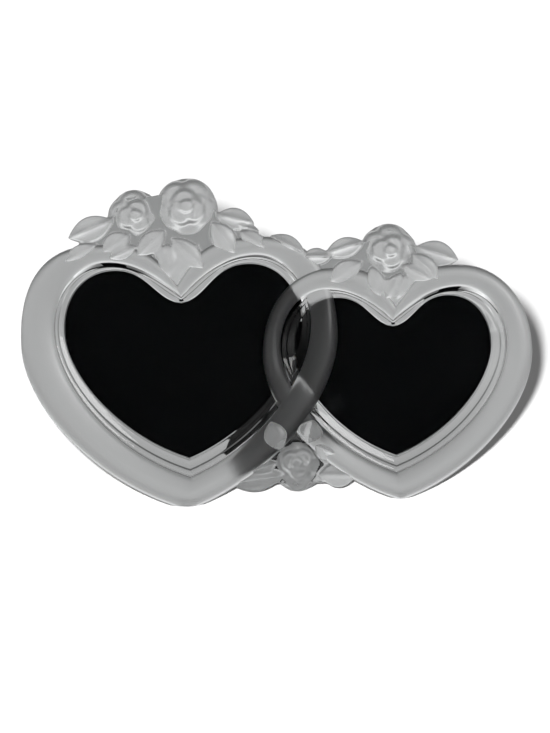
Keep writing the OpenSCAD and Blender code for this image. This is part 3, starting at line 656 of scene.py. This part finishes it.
# %% The web
LARGE_WEB = [(-0.62, 0.94), (-0.6, 1.02), (-0.39, 1.1), (-0.3, 1.12), (-0.16, 1.168), (-0.07, 1.175),
             (0.1, 1.15), (0.28, 1.1), (0.43, 1.07), (0.53, 1.01), (0.67, 0.97)]
SMALL_WEB = [(-0.65, 1.05), (-0.5, 1.06), (-0.25, 1.11), (0, 1.1), (0.18, 1.08), (0.37, 1.04), (0.44, 0.98)]
SMALL_WEB_FOOT = [(0.25, 0.91), (0.02, 0.79), (-0.02, 0.79), (-0.25, 0.91), (-0.52, 0.95)]
LARGE_WEB_FOOT = [(0.5, 0.96), (0.25, 0.92), (0.02, 0.8), (-0.02, 0.8), (-0.25, 0.92), (-0.5, 0.96)]
LOW_WEB = [(-0.26, 0.13), (-0.17, 0.11), (-0.067, 0.115), (0.11, 0.11), (0.2, 0.11), (0.27, 0.14),
           (0.1, 0.39), (-0.08, 0.39)]
LARGE_PAD = [(-0.15, 0.98), (0.15, 0.98), (0.09, 0.9), (0, 0.83), (-0.09, 0.9)]
SMALL_PAD = [(-0.15, 0.945), (0.15, 0.945), (0.1, 0.9), (0, 0.825), (-0.1, 0.9)]
PAD_H = PANE_FRONT + BAND_H * 0.95


def flat_form(name, high, *parts):
    """A prism over shares of one or two hearts, listed clockwise."""
    outline = np.array([on_heart(s, heart) for shares, heart in parts for s in shares])
    return prism(name, outline[::-1], 0, high)


low_web = np.array(LOW_WEB) * TIP_GAP
webs = [flat_form("web", PANE_FRONT, (LARGE_WEB, large), (SMALL_WEB + SMALL_WEB_FOOT, small),
                  (LARGE_WEB_FOOT, large)),
        prism("low_web", low_web, 0, PANE_FRONT),
        flat_form("pad", PAD_H, (LARGE_PAD, large)), flat_form("pad", PAD_H, (SMALL_PAD, small))]
print("flat forms:", len(webs))

# %% The melt
VOXEL = 0.5
MELT_STEPS, MELT_STRENGTH = 8, 0.5


def joined(name, pieces):
    """One mesh of several, which go."""
    shape = bmesh.new()
    for piece in pieces:
        shape.from_mesh(piece.data)
        bpy.data.objects.remove(piece)
    mesh = bpy.data.meshes.new(name)
    shape.to_mesh(mesh)
    shape.free()
    return add_object(name, mesh)


bands_mark, relief_mark = bpy.data.materials.new("bands_mark"), bpy.data.materials.new("relief_mark")
casting.data.materials.append(bands_mark)
relief = joined("relief", roses + leaves + webs)
remesh = relief.modifiers.new("melt", "REMESH")
remesh.mode = "VOXEL"
remesh.voxel_size = VOXEL
polish = relief.modifiers.new("polish", "SMOOTH")
polish.factor = MELT_STRENGTH
polish.iterations = MELT_STEPS
apply_modifiers(relief)
relief.data.materials.clear()
relief.data.materials.append(relief_mark)
print("relief faces:", len(relief.data.polygons))

combine(casting, relief, "UNION")
for name in ("large", "small"):
    combine(casting, prism("recess", outlines[name + "_pane"], -1, RECESS_D), "DIFFERENCE")
combine(casting, move(ground_block(), from_frame), "DIFFERENCE")
faces = casting.data.polygons
print("casting faces:", len(faces), "triangles:", sum(len(f.vertices) - 2 for f in faces))

# %% [markdown]
# ## Which face has which finish
# Bands and flowers of such glass are frosted, often by acid, while windows and steps are kept
# clear. Seven finishes are told apart by the place of each face and the way it looks: the web has a
# darker tint than the thick flowers, a painted shade between them; the walls of the recess are
# black; and the crescents' groove is painted black, a painted shade. Faces painted by hand would be
# lost with every change of shape.

# %% Finishes by face
FROSTED, POLISHED, WINDOW, WALL_BLACK_AND_PAINTED_SHADE, MILKY, THICK, WEB_PAINTED_SHADE = range(7)
BEVEL_TOP = PANE_FRONT + BAND_H * 0.56
WEB_MARGIN, WEB_NORMAL, THICK_BELOW, THICK_R = 0.35, 0.93, 22.5, 13.0
CRESCENT_TOP, CRESCENT_W, WALL_W, LEVEL_MARGIN = PANE_FRONT + BAND_H * 0.3, 1.6, 1.0, 0.01
SIDEWAYS, BACKWARDS = 0.1, -0.5


def inside(points, outline):
    """Which points lie inside a closed outline, by counting the sides crossed to the right."""
    x, y = points[:, 0:1], points[:, 1:2]
    x0, y0 = outline.T
    x1, y1 = np.roll(outline, -1, axis=0).T
    hit = ((y0 <= y) != (y1 <= y)) & (x < x0 + (y - y0) * (x1 - x0) / np.where(y1 == y0, 1, y1 - y0))
    return hit.sum(axis=1) % 2 == 1


centres, normals = values_of(faces, "center"), values_of(faces, "normal")
flat, high = centres[:, :2], centres[:, 2]
backwards = normals[:, 2] < BACKWARDS
within = {name: inside(centres, outline) for name, outline in outlines.items()}
marks = values_of(faces, "material_index", 1, np.int32)
on_relief = np.array([bool(m) and m.name == "relief_mark" for m in casting.data.materials])[marks]
flat_web = (abs(high - PANE_FRONT) < WEB_MARGIN) & (normals[:, 2] > WEB_NORMAL)
in_low_rose = np.linalg.norm(flat - low_middle, axis=1) < THICK_R
finish = np.where((centres[:, 1] < THICK_BELOW) | in_low_rose, THICK, MILKY)
# The flat web gets a darker tint: painted shade between the flowers.
finish[flat_web] = WEB_PAINTED_SHADE
finish[~on_relief] = FROSTED
print("faces on the relief:", int(on_relief.sum()), "on the flat web:", int((on_relief & flat_web).sum()))

# %% Steps, windows, web and recess
for name, other in (("large", "small"), ("small", "large")):
    band = within[other + "_out"] & ~within[other + "_edge"]
    finish[within[name + "_edge"] & ~band & (high < BEVEL_TOP)] = POLISHED
    finish[within[name + "_pane"] & ~band & (abs(high - PANE_FRONT) < 2 * LEVEL_MARGIN)] = WINDOW
# The floor of the groove at each crescent is painted black: a painted shade.
for name in ("large", "small"):
    groove = (finish == POLISHED) & ~on_relief & (high < CRESCENT_TOP) & within[name + "_edge"]
    groove = np.flatnonzero(groove)
    finish[groove[gap_to(outlines[name + "_edge"], flat[groove]) < CRESCENT_W]] = WALL_BLACK_AND_PAINTED_SHADE
finish[(inside(centres, low_web) & flat_web) | backwards] = POLISHED
finish[(high < RECESS_D + LEVEL_MARGIN) & (within["large_pane"] | within["small_pane"])] = POLISHED
finish[(abs(high - RECESS_D) < LEVEL_MARGIN) & backwards] = WINDOW
wall = (high > LEVEL_MARGIN) & (high < RECESS_D - LEVEL_MARGIN) & (abs(normals[:, 2]) < SIDEWAYS)
wall = np.flatnonzero(wall)
for name in ("large", "small"):
    finish[wall[gap_to(outlines[name + "_pane"], flat[wall]) < WALL_W]] = WALL_BLACK_AND_PAINTED_SHADE
print("faces frosted, polished, window, coated, milky, thick, web:", np.bincount(finish))

# %% [markdown]
# ## The finishes of the glass
# Frosted glass is rough only on its front: light comes in from behind and scatters there, so it
# looks grey and soft, and dark where the black card lies behind it. Polished glass bends the light
# without scattering it. The tint is the light grey of the pressed glass: each face that light
# passes takes the root of it. The thick flowers scatter light inside as well, which a share of
# matt grey stands for, because real scattering in a volume renders slowly and isn't exported.

# %% Helpers for materials
def noise(tree, scale, detail=3.0):
    """Noise on the object's own coordinates, with a scale in waves per metre."""
    inputs = {"Vector": place_of(tree), "Scale": scale, "Detail": detail}
    return add_node(tree, "ShaderNodeTexNoise", inputs).outputs["Fac"]


def bump(tree, height, strength, distance):
    inputs = {"Height": height, "Strength": strength, "Distance": distance}
    return add_node(tree, "ShaderNodeBump", inputs).outputs["Normal"]


def principled(tree, inputs):
    """A Principled shader as the surface of a material."""
    shader = add_node(tree, "ShaderNodeBsdfPrincipled", inputs)
    add_node(tree, "ShaderNodeOutputMaterial", {"Surface": shader.outputs[0]})


def two_tones(tree, share, first, second):
    """A mix of two colours."""
    return add_node(tree, "ShaderNodeMix", {"Factor": share, 6: (*first, 1), 7: (*second, 1)},
                    data_type="RGBA").outputs[2]


# %% Glass materials
ROUGHNESS_VARY, GLASS_WAVES, GRAIN_WAVES, GRAIN_DEPTH = 0.04, 90, 1400, 0.0002
GLASS_IOR, WINDOW_IOR = 1.45, 1.06


def glass(name, tint, roughness, ior=GLASS_IOR, grain=0.0, clear=1.0):
    """Solid glass, with a fine grain where it is frosted. What isn't clear is milky."""
    material, tree = new_material(name)
    inputs = {"Base Color": (*tint, 1), "IOR": ior, "Transmission Weight": clear,
              "Roughness": spread(tree, noise(tree, GLASS_WAVES), max(roughness - ROUGHNESS_VARY, 0),
                                  roughness + ROUGHNESS_VARY)}
    if grain:
        inputs["Normal"] = bump(tree, noise(tree, GRAIN_WAVES, 4), grain, GRAIN_DEPTH)
    principled(tree, inputs)
    return material


# Matt black for the recess walls, and as painted shade on the crescents' groove.
black_walls_and_painted_shade, tree = new_material("recess_black_and_painted_shade")
principled(tree, {"Base Color": (0.003, 0.003, 0.004, 1), "Specular IOR Level": 0.1,
                  "Roughness": spread(tree, noise(tree, 500), 0.7, 0.95)})
glasses = {
    FROSTED: glass("frosted_glass", (0.66, 0.67, 0.67), 0.3, grain=0.25, clear=0.96),
    POLISHED: glass("polished_glass", (0.76, 0.77, 0.77), 0.02),
    WINDOW: glass("window_glass", (0.9, 0.92, 0.92), 0.01, WINDOW_IOR),
    WALL_BLACK_AND_PAINTED_SHADE: black_walls_and_painted_shade,
    MILKY: glass("frosted_relief", (0.66, 0.67, 0.67), 0.23, grain=0.15, clear=0.7),
    THICK: glass("thick_relief", (0.56, 0.57, 0.57), 0.2, grain=0.15, clear=0.55),
    # The web's tint is darker than the flowers': painted shade between them.
    WEB_PAINTED_SHADE: glass("frosted_web_painted_shade", (0.38, 0.39, 0.39), 0.3, grain=0.25, clear=0.96)}

move(casting, to_frame)
casting.data.materials.clear()
for number in sorted(glasses):
    casting.data.materials.append(glasses[number])
faces = casting.data.polygons
faces.foreach_set("material_index", finish.astype(np.int32))
faces.foreach_set("use_smooth", np.ones(len(faces), bool))
casting.data.set_sharp_from_angle(angle=radians(26))
casting.data.update()
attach(casting, "glass")
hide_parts("glass_body")
print("finishes on the casting:", len(casting.data.materials))

# %% [markdown]
# ## Matt finishes
# Paper, foam and board are matt, with a fine grain in colour and surface. Velvet has a pile, which
# a sheen shows as a pale bloom where it is seen from the side. Pictures of such surfaces would
# need a mapping for every piece, so one function makes them all from a colour and a grain.

# %% Matt finishes
def shade(color, factor):
    return tuple(min(c * factor, 1) for c in color)


def matt_finish(name, color, vary, scale, grain, depth, sheen=0.0, shine=0.2):
    """Two shades of a colour, mixed by a noise of that scale, on a grained surface."""
    material, tree = new_material(name)
    cloud = noise(tree, scale, 4)
    principled(tree, {
        "Base Color": two_tones(tree, cloud, shade(color, 1 - vary), shade(color, 1 + vary)),
        "Roughness": spread(tree, cloud, 0.75, 0.95), "Specular IOR Level": shine,
        "Normal": bump(tree, noise(tree, grain, 3), 0.6, depth), "Sheen Weight": sheen, "Sheen Roughness": 0.4})
    return material


card_black = matt_finish("card_black", (0.0012, 0.0016, 0.0022), 0.3, 900, 3000, 0.00002, shine=0.06)
foam_gray = matt_finish("foam_gray", (0.05, 0.05, 0.054), 0.35, 1500, 1800, 0.0002)
board_brown = matt_finish("board_brown", (0.26, 0.17, 0.1), 0.3, 350, 1600, 0.00008)
leg_black = matt_finish("leg_black", (0.014, 0.014, 0.015), 0.3, 600, 2200, 0.00004)
velvet_black = matt_finish("velvet_black", (0.008, 0.008, 0.009), 0.6, 450, 5200, 0.0003, 0.35)
print("matt finishes:", [m.name for m in (card_black, foam_gray, board_brown, leg_black, velvet_black)])

# %% [markdown]
# ## The back in its recess
# Behind the windows lie black card, foam and a board, and velvet covers the board. They are cut to
# the windows' outlines, a little smaller than the recess. The card is the black that shows in the
# windows. Card and velvet are made here, the velvet with soft edges, while foam and board keep the
# model's shape. The velvet lies flat and is glued on, so it needs no cloth simulation.

# %% Sizes of the back
BACK_PLAY, CARD_T, PAD_T, BOARD_T, VELVET_T = 0.4, 0.5, 1.0, 2.0, 0.4
CARD_BEHIND, SOFT_EDGE = 0.1, 0.12
BOARD_Z = RECESS_D - CARD_T - PAD_T - BOARD_T
VELVET_Z = BOARD_Z - VELVET_T
RIBBON_REACH, RIBBON_END, RIBBON_W, RIBBON_T = 18.0, 8.0, 10.0, 0.4
EYELET_R, EYELET_HOLE_R, EYELET_RIM_R, EYELET_RIM_T = 1.5, 1.0, 2.6, 0.4
BOARD_EYELET_Y = HINGE_Y - RIBBON_REACH + RIBBON_END / 2
HOLE_SIDES = 32
print("backs of board and velvet in mm:", round(BOARD_Z, 2), round(VELVET_Z, 2))


# %% Helpers for finished pieces
def circle(r, middle=(0, 0)):
    turns = 2 * pi * np.arange(HOLE_SIDES) / HOLE_SIDES
    return np.column_stack([middle[0] + r * np.cos(turns), middle[1] + r * np.sin(turns)])


def pierce(piece, middle, low, high, way=np.asarray):
    """An eyelet's hole, drawn upright and then taken where the function says."""
    combine(piece, move(prism("hole", circle(EYELET_R, middle), low, high), way), "DIFFERENCE")


def smooth(piece, angle=40):
    """Smooth shading, with sharp edges past an angle, and faces that point outwards."""
    shape = bmesh.new()
    shape.from_mesh(piece.data)
    bmesh.ops.remove_doubles(shape, verts=shape.verts, dist=1e-7)
    bmesh.ops.recalc_face_normals(shape, faces=shape.faces)
    shape.to_mesh(piece.data)
    shape.free()
    piece.data.polygons.foreach_set("use_smooth", np.ones(len(piece.data.polygons), bool))
    piece.data.set_sharp_from_angle(angle=radians(angle))
    return piece


def soften(piece, width, segments=2):
    """Rounds the sharp edges of a piece."""
    bevel = piece.modifiers.new("edge", "BEVEL")
    bevel.width = width
    bevel.segments = segments
    bevel.limit_method = "ANGLE"
    bevel.angle_limit = radians(50)
    apply_modifiers(piece)


def dress(piece, material, body, *nodes, slot=None):
    """Gives a finished piece its material, its body and the model's nodes that it stands for."""
    piece.data.materials.clear()
    piece.data.materials.append(material)
    if body:
        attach(piece, body)
    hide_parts(*nodes)
    return piece


# %% Card and velvet back
def back_layer(name, low, high):
    """Both windows' outlines, smaller by the play, as one flat piece between two levels."""
    layers = [prism(name, heart_outline(inset(heart, BACK_PLAY, BACK_PLAY, BACK_PLAY, 0), PANE_SHAPE), low, high)
              for heart in (large_window, small_window)]
    combine(layers[0], layers[1], "UNION")
    return layers[0]


card = back_layer("window_card", RECESS_D - CARD_T, RECESS_D - CARD_BEHIND)
dress(smooth(move(card, to_frame)), card_black, "back", "black_card", slot="black_card")
velvet = back_layer("velvet_cover", VELVET_Z, BOARD_Z)
pierce(velvet, (LEG_X, BOARD_EYELET_Y), VELVET_Z - 1, BOARD_Z + 1)
soften(velvet, SOFT_EDGE)
spots = values_of(velvet.data.vertices, "co")
dress(smooth(move(velvet, to_frame)), velvet_black, "back", "velvet_back", slot="velvet")

# %% [markdown]
# ## The leg's velvet
# The leg is a tapered board that swings on a hinge. Velvet covers its back and is turned over its
# edges, as a thin tray round the board: a larger solid with the board's room cut out. It is drawn
# folded flat, about the hinge axis, and then turned into its open place, because the foot is cut
# level with the table only there.

# %% Velvet on the leg
OPEN_ANGLE = LEAN + radians(14)
LEG_TOP_W, LEG_FOOT_W, LEG_T, LEG_LEVEL, LEG_GAP = 20.0, 44.0, 2.0, -1.0, 1.8
LEG_L = hinge_axis.z / MM / cos(OPEN_ANGLE - LEAN) + LEG_T
LEG_EYELET_Y = -RIBBON_REACH - RIBBON_END / 2
LEG_ROUNDING = 0.3


def open_leg(points):
    """Places on the folded leg, with the hinge at zero, in the glass plane when it is open."""
    x, y, z = (np.array(points, float) - (0, 0, HINGE_Z)).T
    return np.stack([x + LEG_X, y * cos(OPEN_ANGLE) - z * sin(OPEN_ANGLE) + HINGE_Y,
                     y * sin(OPEN_ANGLE) + z * cos(OPEN_ANGLE) + HINGE_Z], -1)


def leg_to_frame(points):
    return to_frame(open_leg(points))


def leg_shape(name, margin, low, high):
    top, foot = LEG_TOP_W / 2 + margin, LEG_FOOT_W / 2 + margin
    outline = [(-foot, -LEG_L - 1), (foot, -LEG_L - 1), (top, -LEG_GAP + margin), (-top, -LEG_GAP + margin)]
    return prism(name, np.array(outline), low, high)


cover = leg_shape("leg_cover", VELVET_T, LEG_LEVEL - LEG_T - VELVET_T, LEG_LEVEL)
soften(cover, LEG_ROUNDING, 3)
combine(cover, leg_shape("leg_room", 0, LEG_LEVEL - LEG_T, LEG_LEVEL + 1), "DIFFERENCE")
pierce(cover, (0, LEG_EYELET_Y), LEG_LEVEL - LEG_T - 2, LEG_LEVEL)
move(cover, leg_to_frame)
combine(cover, ground_block(), "DIFFERENCE")
dress(smooth(cover), velvet_black, "leg", "leg_velvet", slot="velvet")

# %% [markdown]
# ## The ribbon
# A ribbon between two eyelets stops the leg: it lies flat on the board and on the leg and is taut
# between them. It crosses the joint and is attached to neither body. It is a closed strip
# along a path, with its length as UV, so that the ribs of its grosgrain weave run across it.

# %% The ribbon's path
RIBBON_BEND, BEND_STEPS, RIBBON_ROUNDING = 1.2, 8, 0.1

# Points as up the glass and level, from the board's end to the leg's
leg_places = [(0, -RIBBON_REACH - end, LEG_LEVEL + RIBBON_T / 2) for end in (0, RIBBON_END)]
board_end = [(HINGE_Y - RIBBON_REACH + end, VELVET_Z - RIBBON_T / 2) for end in (RIBBON_END, 0)]
leg_end = [tuple(p[1:]) for p in open_leg(leg_places)]


def rounded(points, bend):
    """A line through points, with rounded corners."""
    p = np.array(points, float)
    line = [p[0]]
    for before, corner, after in zip(p, p[1:], p[2:]):
        a, b = (corner + (end - corner) / np.linalg.norm(end - corner) * bend for end in (before, after))
        line += [a * (1 - t) ** 2 + 2 * corner * t * (1 - t) + b * t * t for t in np.linspace(0, 1, BEND_STEPS)]
    return np.array(line + [p[-1]])


path = rounded(board_end + leg_end, RIBBON_BEND)
print("stations of the ribbon:", len(path))


# %% The ribbon
def ribbon_strip(name, path, width, thickness):
    """A closed strip along a path, with its width and length as UV."""
    ways = np.gradient(path, axis=0)
    ways /= np.linalg.norm(ways, axis=1)[:, None]
    out = np.stack([-ways[:, 1], ways[:, 0]], -1)
    along = np.concatenate([[0], np.cumsum(np.linalg.norm(np.diff(path, axis=0), axis=1))])
    w, t, r = width / 2, thickness / 2, RIBBON_ROUNDING
    section = [(-w, r - t), (r - w, -t), (w - r, -t), (w, r - t), (w, t - r), (w - r, t), (r - w, t), (-w, t - r)]
    rings = [np.array([(LEG_X + x, p[0] + o[0] * z, p[1] + o[1] * z) for x, z in section])
             for p, o in zip(path, out)]
    strip = closed_rings(name, rings)
    layer = strip.data.uv_layers.new(name="weave")
    for loop in strip.data.loops:
        ring, k = divmod(loop.vertex_index, len(section))
        layer.data[loop.index].uv = (section[k][0] * MM, along[ring] * MM)
    return strip, along[-1]


def ribbon_finish():
    """Grosgrain: ribs across the ribbon, with a satin shine."""
    material, tree = new_material("ribbon_black")
    spot = add_node(tree, "ShaderNodeUVMap", uv_map="weave").outputs["UV"]
    ribs = add_node(tree, "ShaderNodeTexWave", {"Vector": spot, "Scale": 500.0, "Distortion": 0.4, "Detail": 1.0},
                    bands_direction="Y").outputs["Fac"]
    principled(tree, {"Base Color": two_tones(tree, ribs, (0.008, 0.008, 0.009), (0.03, 0.03, 0.033)),
                      "Roughness": spread(tree, ribs, 0.6, 0.4), "Specular IOR Level": 0.4,
                      "Normal": bump(tree, ribs, 0.5, 0.0001)})
    return material


ribbon, ribbon_length = ribbon_strip("ribbon", path, RIBBON_W, RIBBON_T)
pierce(ribbon, (LEG_X, BOARD_EYELET_Y), VELVET_Z - 1, VELVET_Z + 1)
pierce(ribbon, (0, LEG_EYELET_Y), LEG_LEVEL - 1, LEG_LEVEL + 1, open_leg)
dress(smooth(move(ribbon, to_frame)), ribbon_finish(), None, "stay_ribbon", slot="ribbon")
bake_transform(ribbon)
print("ribbon's length in mm:", round(ribbon_length, 1))

# %% [markdown]
# ## Brass
# Clips, hinge, rivets and eyelets are stamped from brass strip and tumbled, so they have a satin
# shine with fine marks along the strip and a browner tone in places. Clips and hinge leaves keep
# the model's shape, which is exact already. All of them share one material.

# %% Brass finish
def brass_finish():
    material, tree = new_material("brass")
    tone = spread(tree, noise(tree, 220, 4), 0, 1, 0.35, 0.75)
    along = add_node(tree, "ShaderNodeMapping", {"Vector": place_of(tree), "Scale": (9, 1, 1)}).outputs[0]
    marks = add_node(tree, "ShaderNodeTexNoise", {"Vector": along, "Scale": 900.0, "Detail": 2.0}).outputs["Fac"]
    principled(tree, {"Base Color": two_tones(tree, tone, (0.8, 0.6, 0.29), (0.6, 0.4, 0.17)), "Metallic": 1.0,
                      "Roughness": spread(tree, marks, 0.2, 0.42), "Normal": bump(tree, marks, 0.2, 0.00002)})
    return material


brass = brass_finish()
paints = {"foam_pad": foam_gray, "backing_board": board_brown, "leg_board": leg_black}
for name, piece in frame["nodes"].items():
    piece.data.materials.clear()
    piece.data.materials.append(paints.get(name, brass))
print("the model's own pieces:", len(frame["nodes"]))

# %% [markdown]
# ## Eyelets
# An eyelet is a short brass tube whose rim is rolled over the ribbon. A torus on a cylinder would
# leave a seam, so the whole profile is spun about the axis as one ring.

# %% Eyelets
# Shares of the rim's width and height
EYELET_RIM = [(0.0, 0.0), (0.02, 0.6), (0.2, 0.95), (0.45, 1), (0.75, 0.85), (0.95, 0.5), (1, 0)]


def eyelet(name, seat, far, way):
    """A tube from its seat to its far end, with a rolled rim on the seat. The rim's side is the sign of way."""
    rim_w = EYELET_RIM_R - EYELET_HOLE_R
    profile = [(EYELET_HOLE_R, far)]
    profile += [(EYELET_HOLE_R + share * rim_w, seat + way * rise * EYELET_RIM_T) for share, rise in EYELET_RIM]
    profile += [(EYELET_R, seat), (EYELET_R, far)]
    rings = [at_level(circle(r), z) for r, z in profile]
    faces = np.array(ring_faces(len(rings) + 1, HOLE_SIDES)) % (len(rings) * HOLE_SIDES)
    return mesh_object(name, np.concatenate(rings), faces)


ring = eyelet("board_ring", VELVET_Z - RIBBON_T, BOARD_Z + BOARD_T, -1)
move(ring, lambda p: to_frame(p + (LEG_X, BOARD_EYELET_Y, 0)))
dress(smooth(ring), brass, "back", "board_eyelet", slot="brass")
ring = eyelet("leg_ring", LEG_LEVEL + RIBBON_T, LEG_LEVEL - LEG_T - VELVET_T, 1)
move(ring, lambda p: leg_to_frame(p + (0, LEG_EYELET_Y, 0)))
dress(smooth(ring), brass, "leg", "leg_eyelet", slot="brass")
print("faces of an eyelet:", len(ring.data.polygons))

# %% [markdown]
# ## Rivets
# Ten rivets repeat one form: a flat head whose top is upset to a low dome, and a shank. Copies of a
# mesh would do, but a Geometry Nodes tree keeps its sizes as named inputs. It makes one rivet and
# sets it on every point of a mesh of places.

# %% A tree for rivets
RIVET_HEAD_R, RIVET_HEAD_H, RIVET_R, RIM_PART = 1.7, 0.5, 0.9, 0.35
RIVET_INPUTS = [("Places", "Geometry"), ("Head radius", "Float"), ("Head height", "Float"), ("Rim part", "Float"),
                ("Shank radius", "Float"), ("Shank length", "Float"), ("Turn", "Rotation"), ("Finish", "Material")]

rivet_tree = bpy.data.node_groups.new("rivets", "GeometryNodeTree")
sockets = {name: rivet_tree.interface.new_socket(name, in_out="INPUT", socket_type="NodeSocket" + kind).identifier
           for name, kind in RIVET_INPUTS}
rivet_tree.interface.new_socket("Rivets", in_out="OUTPUT", socket_type="NodeSocketGeometry")
given = rivet_tree.nodes.new("NodeGroupInput").outputs


def step(kind, inputs=(), **settings):
    return add_node(rivet_tree, kind, inputs, **settings).outputs


def sums(operation, *values):
    return maths(rivet_tree, operation, *values)


def lifted(shape, height):
    offset = step("ShaderNodeCombineXYZ", {"Z": height})[0]
    return step("GeometryNodeSetPosition", {"Geometry": shape, "Offset": offset})[0]


# %% One rivet and its places
rim_h = sums("MULTIPLY", given["Head height"], given["Rim part"])
head = step("GeometryNodeMeshCylinder", {"Vertices": 32, "Side Segments": 1, "Fill Segments": 6,
                                         "Radius": given["Head radius"], "Depth": rim_h},
            fill_type="TRIANGLE_FAN")["Mesh"]
x, y, z = step("ShaderNodeSeparateXYZ", {0: step("GeometryNodeInputPosition")[0]})
out = sums("SQRT", sums("ADD", sums("MULTIPLY", x, x), sums("MULTIPLY", y, y)))
share = sums("MINIMUM", sums("DIVIDE", out, given["Head radius"]), 1.0)
fall = sums("SQRT", sums("SUBTRACT", 1.0, sums("MULTIPLY", share, share)))
rise = sums("MULTIPLY", fall, sums("SUBTRACT", given["Head height"], rim_h))
rise = sums("MULTIPLY", rise, sums("GREATER_THAN", z, 0.0))
head = lifted(head, sums("ADD", rise, sums("MULTIPLY", rim_h, 0.5)))
shank = step("GeometryNodeMeshCylinder", {"Vertices": 24, "Radius": given["Shank radius"],
                                          "Depth": given["Shank length"]})["Mesh"]
shank = lifted(shank, sums("MULTIPLY", given["Shank length"], -0.5))
whole = rivet_tree.nodes.new("GeometryNodeJoinGeometry")
for part in (head, shank):
    rivet_tree.links.new(part, whole.inputs[0])
placed = step("GeometryNodeInstanceOnPoints", {"Points": given["Places"], "Instance": whole.outputs[0],
                                               "Rotation": given["Turn"]})[0]
real = step("GeometryNodeRealizeInstances", {"Geometry": placed})[0]
painted = step("GeometryNodeSetMaterial", {"Geometry": real, "Material": given["Finish"]})[0]
rivet_tree.links.new(painted, rivet_tree.nodes.new("NodeGroupOutput").inputs[0])
print("nodes of the tree:", len(rivet_tree.nodes))


# %% Where the clips are riveted
CLIP_L, CLIP_RIVET_SHARE, CLIP_T, LOOK_AHEAD = 13.0, 0.72, 0.4, 0.01
# A clip's place: side of the heart, curve of its half, share of the way
LARGE_CLIPS = [(-1, 1, 0.55), (-1, 2, 0.5), (1, 0, 0.8)]
SMALL_CLIPS = [(-1, 0, 0.85), (1, 1, 0.55), (1, 2, 0.5)]


def clip_rivet(heart, side, part, t):
    """Where a clip is riveted: behind a place on the window's outline, square to the wall."""
    curve = half_curves(heart, PANE_SHAPE)[part]
    p, q = bezier(curve, t), bezier(curve, t + LOOK_AHEAD)
    way = (q - p) / np.linalg.norm(q - p)
    turn = atan2(way[0], -side * way[1]) + radians(heart[2])
    back = CLIP_L * CLIP_RIVET_SHARE
    return place_in([(side * p[0], p[1])], heart)[0] - back * np.array([cos(turn), sin(turn)])


clip_spots = [clip_rivet(large_window, *s) for s in LARGE_CLIPS]
clip_spots += [clip_rivet(small_window, *s) for s in SMALL_CLIPS]
print("clips:", len(clip_spots))

# %% Rivets of clips and hinge
LEAF_L, LEAF_T, HINGE_W, RIVET_SPREAD, RIVET_ROW = 12.0, 0.8, 16.0, 0.27, 0.62


def rivets(name, places, shank, head_way, body, node):
    """Rivets with their heads' seats at these places in the frame, as one piece."""
    piece = mesh_object(name, places, [])
    modifier = piece.modifiers.new("rivets", "NODES")
    modifier.node_group = rivet_tree
    for key, value in {"Head radius": RIVET_HEAD_R * MM, "Head height": RIVET_HEAD_H * MM, "Rim part": RIM_PART,
                       "Shank radius": RIVET_R * MM, "Shank length": shank * MM, "Finish": brass,
                       "Turn": head_way.to_track_quat("Z", "Y").to_euler()}.items():
        modifier[sockets[key]] = value
    apply_modifiers(piece)
    dress(smooth(piece, 50), brass, body, node, slot="brass")
    print(name + ":", len(places), "rivets,", len(piece.data.polygons), "faces")


stack = BOARD_Z + BOARD_T - VELVET_Z
pair = [side * HINGE_W * RIVET_SPREAD for side in (-1, 1)]
row = LEAF_L * RIVET_ROW
rivets("clip_domes", to_frame([(*p, VELVET_Z - CLIP_T) for p in clip_spots]),
       stack + CLIP_T, -TO_FRONT, "back", "clip_rivets")
rivets("fixed_domes", to_frame([(LEG_X + x, HINGE_Y + row, VELVET_Z - LEAF_T) for x in pair]),
       stack + LEAF_T, -TO_FRONT, "back", "fixed_leaf_rivets")
leg_front = TO_FRONT * cos(OPEN_ANGLE) - UP_GLASS * sin(OPEN_ANGLE)
rivets("moving_domes", leg_to_frame([(x, -row, LEG_LEVEL + LEAF_T) for x in pair]),
       LEG_T + LEAF_T, leg_front, "leg", "moving_leaf_rivets")
